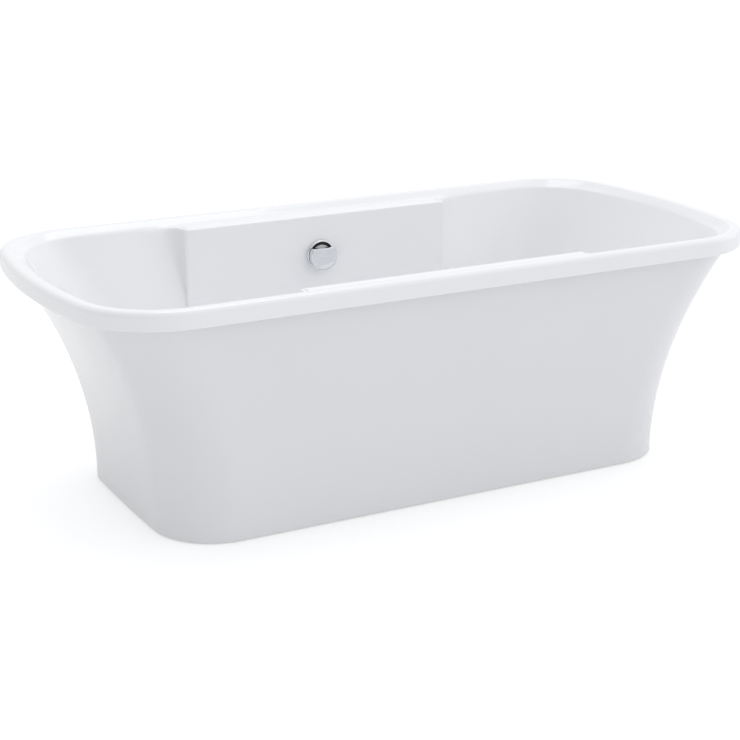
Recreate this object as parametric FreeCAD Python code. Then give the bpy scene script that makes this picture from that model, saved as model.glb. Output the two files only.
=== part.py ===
import FreeCAD, Part
import os
from math import atan2, cos, pi, sin, sqrt, tan

V = FreeCAD.Vector
UP = V(0, 0, 1)
ALONG = V(1, 0, 0)
ACROSS = V(0, 1, 0)

# A double-ended freestanding bath. The origin is on the floor under its middle,
# X runs along the bath, +Y points to the side with the overflow knob, Z is up.

# Overall size, over the rim
LENGTH = 1700.0
WIDTH = 830.0
HEIGHT = 556.0

# Rim: a rolled lip, rounded outside, sloping inwards down to the basin
RIM_CORNER_R = 197.0
RIM_END_BOW = 62.0       # how far each end bulges beyond a straight one
LIP_HEIGHT = 40.0
LIP_ROUND = 20.0
CREST_INSET = 27.0       # where the inward slope starts
BASIN_INSET = 46.0       # where the basin wall starts
RIM_DROP = 15.0          # fall of the slope between them
LIP_WALL = 8.0
RIM_SHEET = 8.0          # sheet under the slope

# Basin: the shell that holds the water
SHELL = 6.0
FLOOR_Z = 125.0
END_SLOPE = 214.0        # each end comes in this far between ledge level and floor
SIDE_SLOPE = 107.0       # and each long side this far
END_CURVE = 1.15         # exponents of the two walls' profiles
SIDE_CURVE = 1.1
BASIN_CORNER_R = 152.0   # plan corner at the floor
BASIN_END_BOW = 26.0     # bulge of the ends at the floor
FLOOR_ROUND = 70.0       # radius between wall and floor

# Decks: the middle of each long wall stands proud as an upright panel with a ledge on top
DECK_HALF = 358.0
DECK_DEPTH = 59.0        # from the basin wall at ledge level to the panel's face
DECK_CORNER_R = 8.0
DECK_RETURN_R = 50.0     # hollow round where the deck returns to the wall
DECK_EDGE_R = 5.0

# Skirt: the outer shell, flaring from its foot to the rim
OVERHANG = 28.0          # the rim stands out this far beyond the skirt
FOOT_END_IN = 200.0      # the foot's end lies this far inside the rim's end
FOOT_SIDE_IN = 104.0
FOOT_CORNER_R = 147.0
FOOT_END_BOW = 8.0
END_FLARE = 2.25         # exponents of the two flares
SIDE_FLARE = 1.75
SKIRT_WALL = 4.5
SKIRT_GROUND_GAP = 3.0

# Base board and steel frame
BOARD = 15.0
BOARD_EDGE = 8.0         # the board stops this far inside the floor's flat part
BOARD_CORNER_R = 60.0
BOARD_HOLE_R = 46.0
BAR = 25.0               # side of the square steel tube
BAR_WALL = 2.0
OUTER_BAR_IN = 82.0      # from the board's end to the outer cross bars
INNER_BAR_X = 165.0
BAR_TO_SKIRT = 38.0      # between a cross bar's end and the foot of the skirt
RAIL_PAST_BAR = 60.0
SCREW_R = 2.4
SCREW_HEAD_R = 5.0
SCREW_HEAD = 3.0
SCREW_BITE = 11.0
BLOCK_LENGTH = 60.0
BLOCK_BELOW = 20.0       # the skirt blocks reach this far below the cross bars
BATTEN_LENGTH = 620.0
BATTEN_WIDTH = 38.0
BATTEN = 18.0

# Levelling feet
FOOT_IN = 35.0           # from a cross bar's end to the foot's centre
RAIL_FROM_FOOT = 88.0
STUD_R = 6.0
STUD_ABOVE = 18.0        # stud showing above its cross bar
PAD_R = 24.0
PAD = 12.0
NUT_FLATS = 18.0
NUT = 9.0

# Pop-up waste, in the middle of the floor
WASTE_R = 35.0           # chrome flange
WASTE_RIM = 2.5
WASTE_RECESS = 2.0
THROAT_R = 20.5
TAIL_WALL = 3.0
SEAL = 1.0
GASKET = 4.0
BODY_WALL = 4.0
BODY_FLANGE = 5.0
CHAMBER_BELOW_PORT = 2.5 # its floor lies this far under the hose port's bore
DIP_R = 17.0             # bore of the pipe that dips into the trap
PIPE_WALL = 3.0
PLUG_R = 29.0
PLUG_CAP = 4.0
PLUG_SEAL_R = 26.0
PLUG_SEAL = 1.5
STEM_R = 3.0
GUIDE_R = 6.5
GUIDE = 9.0
RIB = 3.0
LEVER_ARM = 16.0
LEVER_WIDTH = 6.0
LEVER_PIN_R = 1.5
LEVER_NOSE_R = 3.0

# Bottle trap
TRAP_R = 46.0
TRAP_WALL = 3.0
TRAP_GROUND_GAP = 5.0
TRAP_CAP = 8.0
TRAP_CAP_STEP = 2.0      # the cap stands out this far beyond the bowl
DIP_GAP = 8.0            # between the dip pipe's end and the bowl's bottom
SOCKET_LENGTH = 18.0     # of the bowl's outlet
SOCKET_WALL = 3.0
OUTLET_R = 20.0          # 40 mm waste pipe
OUTLET_BORE_R = 17.0
OUTLET_BEND_R = 21.0
BEND_RUN = 58.0          # from the bowl's side to the bend's upright leg
COLLAR_R = 24.0
COLLAR = 4.0
SPIGOT_LENGTH = 20.0     # of the upright leg, below its collar

# Overflow and its control knob
OVERFLOW_DOWN = 115.0    # its axis lies this far below the rim
OVERFLOW_HOLE_R = 24.0
RING_R = 38.0
RING = 8.0
RING_EDGE_R = 3.0
KNOB_R = 36.0
KNOB = 15.0
KNOB_FLAT = 20.5         # from the axis to the flat across the knob's top
KNOB_FACET = 20.5        # from the axis to the facet low on its front
FACET_LEAN = 0.23        # radians that the facet leans back from the front
FACET_RISE = 0.22        # radians that its upper edge rises towards +X
KNOB_EDGE_R = 3.0
KNOB_GAP = 3.0           # water leaves through this gap
SLEEVE_R = 21.9
SLEEVE_WALL = 2.5
SLEEVE_FLANGE_R = 26.0
SLEEVE_FLANGE = 2.5
SLEEVE_SLOT_R = 5.0
SLEEVE_SLOT_AT = 12.0
SPINDLE_R = 4.0
SPINDLE_IN_KNOB = 10.0
CAM_R = 13.0
CAM = 4.0
BOX_R = 31.0             # housing behind the panel
BOX = 24.0
BOX_WALL = 3.0
BOX_GASKET = 3.0
HOSE_R = 10.0
HOSE_WALL = 2.0
SPIGOT = 18.0
NECK = 36.0              # the hose hangs plumb this far below the housing
BEND_OUT = 1.5           # the bend clears the panel's back by this much more
CABLE_R = 2.5
CABLE_OFFSET = 20.0      # the cable runs this far beside the hose
CLAMP = 1.2
CLAMP_WIDTH = 8.0
GLAND_R = 4.5
GLAND = 12.0
PORT = 22.0              # length of the waste body's side ports

# Clearances
FIT = 0.05               # running fit of a shaft in its hole, on the radius
GAP = 0.3                # between curved faces that nest
TURN_GAP = 0.6           # around a nut's or a screw's shank

# What follows from these sizes
half_length = LENGTH / 2
half_width = WIDTH / 2
lip_z = HEIGHT - LIP_HEIGHT
ledge_z = HEIGHT - RIM_DROP
roof_z = ledge_z - RIM_SHEET
shell_under_z = FLOOR_Z - SHELL
board_under_z = shell_under_z - BOARD
bar_under_z = board_under_z - BAR
rail_under_z = bar_under_z - BAR
panel_y = half_width - BASIN_INSET - DECK_DEPTH
panel_back_y = panel_y + SHELL
overflow_z = HEIGHT - OVERFLOW_DOWN


# ---- Helpers -------------------------------------------------------------------------

def end_radius(half_wide, bow):
    """Radius of an end arc that bulges by bow over its full width."""
    return (half_wide**2 + bow**2) / (2 * bow)


def inset(section, distance):
    """A section (half length, half width, corner radius, end radius) moved inwards."""
    return tuple(size - distance for size in section)


def between(low, high, share):
    return low + (high - low) * share


def outline(section, z):
    """Level wire of a section: straight long sides, round corners, gently arced ends."""
    long, wide, corner_r, end_r = section
    end_x = long - end_r
    corner_y = wide - corner_r
    corner_x = end_x + sqrt((end_r - corner_r)**2 - corner_y**2)
    turn = atan2(corner_y, corner_x - end_x)
    middle = (turn + pi / 2) / 2
    meet = (end_x + end_r * cos(turn), end_r * sin(turn))
    bend = (corner_x + corner_r * cos(middle), corner_y + corner_r * sin(middle))
    side = (corner_x, wide)

    def point(place, sx, sy):
        return V(place[0] * sx, place[1] * sy, z)

    def arc(*points):
        return Part.Arc(*points).toShape()

    def line(start, end):
        return Part.LineSegment(start, end).toShape()

    tip = (long, 0)
    return Part.Wire([
        arc(point(meet, 1, -1), point(tip, 1, 1), point(meet, 1, 1)),
        arc(point(meet, 1, 1), point(bend, 1, 1), point(side, 1, 1)),
        line(point(side, 1, 1), point(side, -1, 1)),
        arc(point(side, -1, 1), point(bend, -1, 1), point(meet, -1, 1)),
        arc(point(meet, -1, 1), point(tip, -1, 1), point(meet, -1, -1)),
        arc(point(meet, -1, -1), point(bend, -1, -1), point(side, -1, -1)),
        line(point(side, -1, -1), point(side, 1, -1)),
        arc(point(side, 1, -1), point(bend, 1, -1), point(meet, 1, -1)),
    ])


def prism(section, low, high):
    return Part.Face(outline(section, low)).extrude(UP * (high - low))


def loft(levels, section_at):
    return Part.makeLoft([outline(section_at(z), z) for z in levels], True)


def spread(low, high, count):
    return [between(low, high, i / (count - 1)) for i in range(count)]


def rod(start, direction, radius, length):
    return Part.makeCylinder(radius, length, start, direction)


def tube(start, direction, outer_r, inner_r, length):
    """Round tube with a clean through bore."""
    bore = rod(start - direction, direction, inner_r, length + 2)
    return rod(start, direction, outer_r, length).cut(bore)


def block(low, high):
    size = high - low
    return Part.makeBox(size.x, size.y, size.z, low)


def square_tube(low, high, direction):
    """Square steel tube between two corners, hollow along direction."""
    wall = V(BAR_WALL, BAR_WALL, BAR_WALL)
    reach = direction * (BAR_WALL + 1)
    return block(low, high).cut(block(low + wall - reach, high - wall + reach))


def hexagon(centre, flats, height):
    """Upright hexagonal prism standing on centre."""
    corner = flats / sqrt(3)
    points = [centre + V(corner * cos(i * pi / 3), corner * sin(i * pi / 3), 0) for i in range(7)]
    return Part.Face(Part.makePolygon(points)).extrude(UP * height)


def fuse(*shapes):
    return shapes[0].fuse(list(shapes[1:])).removeSplitter()


def route_wire(points):
    """Straight runs joined by the largest tangent arcs that the runs leave room for."""
    edges = []
    start = points[0]
    for before, here, after in zip(points, points[1:], points[2:]):
        first = before - here
        last = after - here
        turn = pi - first.getAngle(last)
        reach = 0.45 * min(first.Length, last.Length)
        first.normalize()
        last.normalize()
        radius = reach / tan(turn / 2)
        inward = (first + last).normalize()
        to_centre = sqrt(radius**2 + reach**2)
        enter = here + first * reach
        leave = here + last * reach
        edges.append(Part.LineSegment(start, enter).toShape())
        edges.append(Part.Arc(enter, here + inward * (to_centre - radius), leave).toShape())
        print("bend radius %.0f mm" % radius)
        start = leave
    edges.append(Part.LineSegment(start, points[-1]).toShape())
    return Part.Wire(edges)


def sweep(points, radius):
    """Solid of round section along a route, checked against section times length."""
    wire = route_wire(points)
    circle = Part.Wire(Part.Circle(points[0], points[1] - points[0], radius).toShape())
    solid = wire.makePipeShell([circle], True, False)
    print("route %.0f mm, volume ratio %.4f" % (wire.Length, solid.Volume / (pi * radius**2 * wire.Length)))
    return solid


def export(name, *solids):
    """One STEP file for a node, of one solid or of a group of separate ones."""
    shape = solids[0] if len(solids) == 1 else Part.makeCompound(list(solids))
    if not shape.isValid():
        print("not valid:", name)
    print(name, len(shape.Solids), "solids", round(shape.Volume / 1000), "cm3")
    shape.exportStep("parts/%s.step" % name)


# ---- The bath's three main surfaces ---------------------------------------------------

rim = (half_length, half_width, RIM_CORNER_R, end_radius(half_width, RIM_END_BOW))
basin_top = inset(rim, BASIN_INSET)
skirt_top = inset(rim, OVERHANG)


def basin_section(z):
    """The basin's water side: walls that curve in from ledge level down to the floor."""
    share = (z - FLOOR_Z) / (ledge_z - FLOOR_Z)
    long = basin_top[0] - END_SLOPE * (1 - share**END_CURVE)
    wide = basin_top[1] - SIDE_SLOPE * (1 - share**SIDE_CURVE)
    top_bow = basin_top[3] - sqrt(basin_top[3]**2 - basin_top[1]**2)
    bow = between(BASIN_END_BOW, top_bow, share)
    return (long, wide, between(BASIN_CORNER_R, basin_top[2], share), end_radius(wide, bow))


def skirt_section(z):
    """The skirt's outside: a foot that flares out, slowly and then faster, to the rim."""
    share = max(z, 0) / lip_z
    end_share = share**END_FLARE
    long = between(half_length - FOOT_END_IN, skirt_top[0], end_share)
    wide = between(half_width - FOOT_SIDE_IN, skirt_top[1], share**SIDE_FLARE)
    top_bow = skirt_top[3] - sqrt(skirt_top[3]**2 - skirt_top[1]**2)
    bow = between(FOOT_END_BOW, top_bow, end_share)
    return (long, wide, between(FOOT_CORNER_R, skirt_top[2], end_share), end_radius(wide, bow))


def basin_solid(thickness):
    """The basin's volume grown outwards and downwards by thickness, its floor edge rounded."""
    section = lambda z: inset(basin_section(max(z, FLOOR_Z)), -thickness)
    low = FLOOR_Z - thickness
    levels = [low] + spread(FLOOR_Z + 30, ledge_z, 8)
    body = loft(levels, section)
    rims = [edge for edge in body.Edges if edge.BoundBox.ZMax < low + 0.01]
    return body.makeFillet(FLOOR_ROUND + thickness, rims)


def skirt_solid(thickness, low):
    """The skirt's volume shrunk by thickness, with the upright neck that the rim covers."""
    section = lambda z: inset(skirt_section(z), thickness)
    body = loft(spread(low, lip_z, 9), section)
    return fuse(body, prism(section(lip_z), lip_z, roof_z))


def deck_block(side, thickness, top):
    """Upright block of one deck, shrunk by thickness; side is 1 for +Y and -1 for -Y."""
    face_y = panel_y + thickness
    wall_y = half_width - BASIN_INSET + thickness
    end_x = DECK_HALF - thickness
    corner_r = DECK_CORNER_R - thickness if DECK_CORNER_R > thickness else 1.0
    return_r = DECK_RETURN_R + thickness
    centre_y = wall_y - return_r
    slant = sqrt(0.5)
    half = [
        V(end_x - corner_r, face_y, 0),
        V(end_x - corner_r * (1 - slant), face_y + corner_r * (1 - slant), 0),
        V(end_x, face_y + corner_r, 0),
        V(end_x, centre_y, 0),
        V(end_x + return_r * (1 - slant), centre_y + return_r * slant, 0),
        V(end_x + return_r, wall_y, 0),
        V(end_x + return_r, half_width - LIP_WALL, 0),
    ]
    right = [V(p.x, side * p.y, 0) for p in half]
    left = [V(-p.x, p.y, 0) for p in right]
    edges = [
        Part.LineSegment(left[0], right[0]).toShape(),
        Part.Arc(right[0], right[1], right[2]).toShape(),
        Part.LineSegment(right[2], right[3]).toShape(),
        Part.Arc(right[3], right[4], right[5]).toShape(),
        Part.LineSegment(right[5], right[6]).toShape(),
        Part.LineSegment(right[6], left[6]).toShape(),
        Part.LineSegment(left[6], left[5]).toShape(),
        Part.Arc(left[5], left[4], left[3]).toShape(),
        Part.LineSegment(left[3], left[2]).toShape(),
        Part.Arc(left[2], left[1], left[0]).toShape(),
    ]
    return Part.Face(Part.Wire(edges)).extrude(UP * top)


def softened_deck(side):
    """The deck's outer shape, with the ledge's front edge rounded."""
    body = deck_block(side, 0, ledge_z)
    reach = half_width - BASIN_INSET - 0.1
    front = []
    for edge in body.Edges:
        box = edge.BoundBox
        if box.ZMin > ledge_z - 0.01 and max(abs(box.YMin), abs(box.YMax)) < reach - DECK_RETURN_R + 1:
            front.append(edge)
    return body.makeFillet(DECK_EDGE_R, front)


os.makedirs("parts", exist_ok=True)

# ---- Inner tub: rim, decks and basin in one moulded shell -------------------------------

tub_block = prism(rim, lip_z, HEIGHT)
top_edges = [edge for edge in tub_block.Edges if edge.BoundBox.ZMin > HEIGHT - 0.01]
tub_block = tub_block.makeFillet(LIP_ROUND, top_edges)
basin_outside = basin_solid(SHELL)
above = 4.0
slope_run = (BASIN_INSET - CREST_INSET) * (RIM_DROP + above) / RIM_DROP
slope = Part.makeLoft([
    outline(basin_top, ledge_z),
    outline(inset(rim, BASIN_INSET - slope_run), HEIGHT + above),
], True, True)
channel = prism(inset(rim, LIP_WALL), lip_z - 1, roof_z).cut(basin_outside)
decks = softened_deck(1).fuse(softened_deck(-1))
hollow = basin_solid(0).cut(decks)
pockets = deck_block(1, SHELL, roof_z).fuse(deck_block(-1, SHELL, roof_z))
tub = tub_block.fuse(basin_outside)
tub = tub.cut([slope, hollow, channel, pockets])
tail_r = THROAT_R + TAIL_WALL
waste_hole = rod(V(0, 0, shell_under_z - 1), UP, tail_r + TURN_GAP, SHELL + 2)
waste_recess = rod(V(0, 0, FLOOR_Z - WASTE_RECESS), UP, WASTE_R + GAP, WASTE_RECESS + 1)
overflow_hole = rod(V(0, panel_y - 1, overflow_z), ACROSS, OVERFLOW_HOLE_R, SHELL + 2)
tub = tub.cut([waste_hole, waste_recess, overflow_hole])
export("inner_tub", tub)

# ---- Outer skirt ----------------------------------------------------------------------

skirt = skirt_solid(0, SKIRT_GROUND_GAP)
skirt_inside = skirt_solid(SKIRT_WALL, SKIRT_GROUND_GAP - 1)
export("outer_skirt", skirt.cut(skirt_inside))

# ---- Deck battens, base board ----------------------------------------------------------

# A timber batten is bonded under each ledge, and a board under the basin's floor.
for side, name in ((-1, "deck_batten_front"), (1, "deck_batten_rear")):
    near = side * (panel_back_y + GAP)
    far = side * (panel_back_y + GAP + BATTEN_WIDTH)
    low = V(-BATTEN_LENGTH / 2, min(near, far), roof_z - BATTEN)
    export(name, block(low, V(BATTEN_LENGTH / 2, max(near, far), roof_z)))

floor_section = basin_section(FLOOR_Z)
board_half_x = floor_section[0] - FLOOR_ROUND - BOARD_EDGE
board_half_y = floor_section[1] - FLOOR_ROUND - BOARD_EDGE
board = block(V(-board_half_x, -board_half_y, board_under_z), V(board_half_x, board_half_y, shell_under_z))
uprights = [edge for edge in board.Edges if edge.BoundBox.ZLength > BOARD - 0.01]
board = board.makeFillet(BOARD_CORNER_R, uprights)
board = board.cut(rod(V(0, 0, board_under_z - 1), UP, BOARD_HOLE_R, BOARD + 2))

# ---- Steel frame: cross bars under the board, rails under the cross bars ----------------

bar_half_y = half_width - FOOT_SIDE_IN - BAR_TO_SKIRT
foot_y = bar_half_y - FOOT_IN
rail_y = foot_y - RAIL_FROM_FOOT
outer_bar_x = board_half_x - OUTER_BAR_IN
rail_half_x = outer_bar_x + RAIL_PAST_BAR
bar_places = {
    "cross_bar_left": -outer_bar_x,
    "cross_bar_mid_left": -INNER_BAR_X,
    "cross_bar_mid_right": INNER_BAR_X,
    "cross_bar_right": outer_bar_x,
}
screw_places = [V(x, side * rail_y, 0) for x in bar_places.values() for side in (-1, 1)]
stud_places = {
    "front_left": V(-outer_bar_x, -foot_y, 0),
    "front_right": V(outer_bar_x, -foot_y, 0),
    "rear_left": V(-outer_bar_x, foot_y, 0),
    "rear_right": V(outer_bar_x, foot_y, 0),
}

# Screws go up through rail and cross bar into the board.
shank_length = 2 * BAR + SCREW_BITE + 1
shanks = [rod(place + UP * (rail_under_z - 1), UP, SCREW_R + FIT, shank_length) for place in screw_places]
stud_holes = [
    rod(place + UP * (bar_under_z - 1), UP, STUD_R + TURN_GAP, BAR + 2) for place in stud_places.values()
]
export("base_board", board.cut(shanks))

for name, x in bar_places.items():
    low = V(x - BAR / 2, -bar_half_y, bar_under_z)
    high = V(x + BAR / 2, bar_half_y, board_under_z)
    export(name, square_tube(low, high, ACROSS).cut(shanks + stud_holes))

for side, name in ((-1, "frame_rail_front"), (1, "frame_rail_rear")):
    low = V(-rail_half_x, side * rail_y - BAR / 2, rail_under_z)
    high = V(rail_half_x, side * rail_y + BAR / 2, bar_under_z)
    export(name, square_tube(low, high, ALONG).cut(shanks))


def board_screw(place):
    seat = place + UP * rail_under_z
    shank = rod(seat, UP, SCREW_R, 2 * BAR + SCREW_BITE)
    head = rod(seat - UP * SCREW_HEAD, UP, SCREW_HEAD_R, SCREW_HEAD)
    rim_edges = [edge for edge in head.Edges if edge.BoundBox.ZMax < seat.z - SCREW_HEAD + 0.01]
    return fuse(shank, head.makeFillet(SCREW_HEAD / 2, rim_edges[:1]))


export("board_screws", *[board_screw(place) for place in screw_places])

# A block at each end of the outer cross bars carries the skirt, cut to its inside.
skirt_room = skirt_solid(SKIRT_WALL + GAP, SKIRT_GROUND_GAP - 1)
for name, place in stud_places.items():
    near = bar_half_y
    far = half_width
    side = 1 if place.y > 0 else -1
    low = V(place.x - BLOCK_LENGTH / 2, min(side * near, side * far), bar_under_z - BLOCK_BELOW)
    high = V(place.x + BLOCK_LENGTH / 2, max(side * near, side * far), board_under_z)
    export("skirt_block_" + name, block(low, high).common(skirt_room))

# ---- Levelling feet: pad and stud move, the nuts stay with the frame --------------------


def foot_pad(place):
    """Round pad, domed on top, with the socket that the stud's end stands in."""
    body = rod(place, UP, PAD_R, PAD)
    top = [edge for edge in body.Edges if edge.BoundBox.ZMin > PAD - 0.01]
    body = body.makeFillet(PAD / 2, top)
    return body.cut(rod(place + UP * PAD / 2, UP, STUD_R + FIT, PAD))


def ring_nut(place, low):
    hole = rod(place + UP * (low - 1), UP, STUD_R + FIT, NUT + 2)
    return hexagon(place + UP * low, NUT_FLATS, NUT).cut(hole)


for name, place in stud_places.items():
    export("foot_pad_" + name, foot_pad(place))
    stud = rod(place + UP * PAD / 2, UP, STUD_R, board_under_z + STUD_ABOVE - PAD / 2)
    tip = [edge for edge in stud.Edges if edge.BoundBox.ZMin > board_under_z + STUD_ABOVE - 0.01]
    export("foot_stud_" + name, stud.makeChamfer(1.0, tip))
export("foot_lock_nuts", *[ring_nut(place, bar_under_z - NUT) for place in stud_places.values()])
export("foot_weld_nuts", *[ring_nut(place, board_under_z) for place in stud_places.values()])

# ---- Pop-up waste -----------------------------------------------------------------------

waste_top = FLOOR_Z - WASTE_RECESS + SEAL + WASTE_RIM
flange_z = waste_top - WASTE_RIM
body_top = shell_under_z - GASKET
port_z = (bar_under_z + board_under_z) / 2
port_bore_r = HOSE_R - 2 * HOSE_WALL
chamber_low = port_z - port_bore_r - CHAMBER_BELOW_PORT - BODY_WALL
body_depth = body_top - chamber_low
chamber_r = tail_r + FIT
body_r = chamber_r + BODY_WALL
tail_low = body_top - BODY_FLANGE - GUIDE

# Flange with its threaded tail, and three ribs that carry the plug's guide
flange = fuse(
    tube(V(0, 0, flange_z), UP, WASTE_R, THROAT_R, WASTE_RIM),
    tube(V(0, 0, tail_low), UP, tail_r, THROAT_R, flange_z - tail_low + WASTE_RIM / 2),
)
mouth = [
    edge for edge in flange.Edges
    if edge.BoundBox.ZMin > waste_top - 0.01 and edge.BoundBox.XLength < 2 * THROAT_R + 1
]
flange = flange.makeChamfer(WASTE_RIM / 2, mouth)
guide = rod(V(0, 0, tail_low), UP, GUIDE_R, GUIDE)
for turn in (90, 210, 330):
    rib = block(V(0, -RIB / 2, tail_low), V(THROAT_R + TAIL_WALL / 2, RIB / 2, tail_low + GUIDE))
    guide = guide.fuse(rib.rotated(V(0, 0, 0), UP, turn))
guide_bore = rod(V(0, 0, tail_low - 1), UP, STEM_R + FIT, GUIDE + 2)
export("waste_flange", fuse(flange, guide).cut(guide_bore))
export("waste_flange_seal", tube(V(0, 0, flange_z - SEAL), UP, WASTE_R - SEAL, tail_r + FIT, SEAL))
export("waste_body_gasket", tube(V(0, 0, body_top), UP, WASTE_R, tail_r + FIT, GASKET))

# Body under the shell: a chamber that takes the tail, with ports for hose and cable
lever_y = -LEVER_ARM
lever_z = chamber_low + BODY_WALL + LEVER_WIDTH
dip_low = TRAP_GROUND_GAP + TRAP_WALL + DIP_GAP
outside = fuse(
    rod(V(0, 0, chamber_low), UP, body_r, body_depth),
    rod(V(0, 0, body_top - BODY_FLANGE), UP, WASTE_R, BODY_FLANGE),
    rod(V(0, 0, dip_low), UP, DIP_R + PIPE_WALL, chamber_low - dip_low + 1),
    rod(V(0, 0, port_z), ACROSS, HOSE_R - HOSE_WALL - FIT, body_r + PORT),
    rod(V(CABLE_OFFSET, 0, port_z), ACROSS, GLAND_R, body_r + PORT / 2),
)
chamber = rod(V(0, 0, chamber_low + BODY_WALL), UP, chamber_r, body_depth)
waste_body = outside.cut([
    chamber,
    rod(V(0, 0, dip_low - 1), UP, DIP_R, body_depth + chamber_low - dip_low),
    rod(V(0, 0, port_z), ACROSS, port_bore_r, body_r + PORT + 1),
    rod(V(CABLE_OFFSET, 0, port_z), ACROSS, CABLE_R + FIT, body_r + PORT + 1),
])
pin_half = sqrt(chamber_r**2 - lever_y**2) + BODY_WALL / 2
pin_hole = rod(V(-pin_half, lever_y, lever_z), ALONG, LEVER_PIN_R + FIT, 2 * pin_half)
export("waste_body", waste_body.cut(pin_hole))
export("lever_pin", rod(V(-pin_half, lever_y, lever_z), ALONG, LEVER_PIN_R, 2 * pin_half))

# Rocker under the plug's stem: an arm with a round nose, hung on its pin
arm_low = V(-LEVER_WIDTH / 2, lever_y, lever_z - LEVER_NOSE_R)
arm_high = V(LEVER_WIDTH / 2, 0, lever_z + LEVER_NOSE_R)
lever = fuse(
    block(arm_low, arm_high),
    rod(V(-LEVER_WIDTH / 2, 0, lever_z), ALONG, LEVER_NOSE_R, LEVER_WIDTH),
    rod(V(-LEVER_WIDTH, lever_y, lever_z), ALONG, LEVER_NOSE_R, 2 * LEVER_WIDTH),
)
pin_hole = rod(V(-LEVER_WIDTH - 1, lever_y, lever_z), ALONG, LEVER_PIN_R + FIT, 2 * LEVER_WIDTH + 2)
export("lift_lever", lever.cut(pin_hole))

# Plug: domed chrome cap, rubber seal and stem, just clear of the closed flange
seal_z = waste_top + GAP
cap_z = seal_z + PLUG_SEAL
stem_low = lever_z + LEVER_NOSE_R + GAP
cap = rod(V(0, 0, cap_z), UP, PLUG_R, PLUG_CAP)
cap_rim = [edge for edge in cap.Edges if edge.BoundBox.ZMin > cap_z + PLUG_CAP - 0.01]
export("plug_cap", cap.makeFillet(PLUG_CAP * 0.6, cap_rim))
export("plug_seal", tube(V(0, 0, seal_z), UP, PLUG_SEAL_R, STEM_R + FIT, PLUG_SEAL))
export("plug_stem", rod(V(0, 0, stem_low), UP, STEM_R, cap_z - stem_low))

# ---- Bottle trap ------------------------------------------------------------------------

cap_low = chamber_low - TRAP_CAP
socket_r = OUTLET_R + FIT + SOCKET_WALL
outlet_z = cap_low - socket_r
trap = fuse(
    rod(V(0, 0, TRAP_GROUND_GAP), UP, TRAP_R, cap_low - TRAP_GROUND_GAP),
    rod(V(0, 0, outlet_z), -ALONG, socket_r, TRAP_R + SOCKET_LENGTH),
)
trap = trap.cut([
    rod(V(0, 0, TRAP_GROUND_GAP + TRAP_WALL), UP, TRAP_R - TRAP_WALL, cap_low),
    rod(V(0, 0, outlet_z), -ALONG, OUTLET_R + FIT, TRAP_R + SOCKET_LENGTH + 1),
])
export("trap_bowl", trap)

# The bend stands in the bowl's socket and turns down to a spigot for the waste pipe.
leg_x = -TRAP_R - BEND_RUN
bend_start_x = -TRAP_R + TRAP_WALL / 2
turn_x = leg_x + OUTLET_BEND_R
turn_z = outlet_z - OUTLET_BEND_R
collar_low = turn_z - COLLAR


def quarter_bend(radius, past):
    """Round bar along the outlet that turns down, each end past its mark by past."""
    section = Part.Face(Part.Wire(Part.Circle(V(turn_x, 0, outlet_z), ALONG, radius).toShape()))
    return fuse(
        rod(V(bend_start_x + past, 0, outlet_z), -ALONG, radius, bend_start_x + past - turn_x),
        section.revolve(V(turn_x, 0, turn_z), ACROSS, -90),
        rod(V(leg_x, 0, turn_z), -UP, radius, COLLAR + SPIGOT_LENGTH + past),
    )


bend = quarter_bend(OUTLET_R, 0).fuse(rod(V(leg_x, 0, collar_low), UP, COLLAR_R, COLLAR))
export("outlet_bend", bend.cut(quarter_bend(OUTLET_BORE_R, 1)))
trap_cap_r = TRAP_R + TRAP_CAP_STEP
export("trap_cap", tube(V(0, 0, cap_low), UP, trap_cap_r, DIP_R + PIPE_WALL + FIT, TRAP_CAP))

# ---- Overflow and control knob, through the rear deck's panel ---------------------------

axis = V(0, 0, overflow_z)
ring_y = panel_y - RING
knob_back_y = ring_y - KNOB_GAP
knob_front_y = knob_back_y - KNOB
box_y = panel_back_y + BOX_GASKET
hose_top_y = box_y + BOX / 2


def at_y(y):
    return axis + ACROSS * y


def edges_in_front(shape, y):
    return [edge for edge in shape.Edges if edge.BoundBox.YMax < y + 0.01]


ring = rod(at_y(ring_y), ACROSS, RING_R, RING)
ring = ring.makeFillet(RING_EDGE_R, edges_in_front(ring, ring_y))
ring = ring.cut([
    rod(at_y(ring_y - 1), ACROSS, SLEEVE_R + FIT, RING + 2),
    rod(at_y(ring_y - 1), ACROSS, SLEEVE_FLANGE_R + GAP, SLEEVE_FLANGE + 1),
])
export("overflow_ring", ring)

# Sleeve: its flange sits in the ring, its tail screws into the housing behind the panel
sleeve = fuse(
    rod(at_y(ring_y), ACROSS, SLEEVE_FLANGE_R, SLEEVE_FLANGE),
    rod(at_y(ring_y), ACROSS, SLEEVE_R, box_y + BOX_WALL - ring_y),
)
sleeve_bore = rod(at_y(ring_y + SLEEVE_FLANGE), ACROSS, SLEEVE_R - SLEEVE_WALL, box_y)
spindle_bore = rod(at_y(ring_y - 1), ACROSS, SPINDLE_R + FIT, SLEEVE_FLANGE + 2)
slots = []
for turn in range(4):
    angle = pi / 4 + turn * pi / 2
    offset = V(SLEEVE_SLOT_AT * cos(angle), 0, SLEEVE_SLOT_AT * sin(angle))
    slots.append(rod(at_y(ring_y - 1) + offset, ACROSS, SLEEVE_SLOT_R, SLEEVE_FLANGE + 2))
export("overflow_sleeve", sleeve.cut([sleeve_bore, spindle_bore] + slots))

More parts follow.
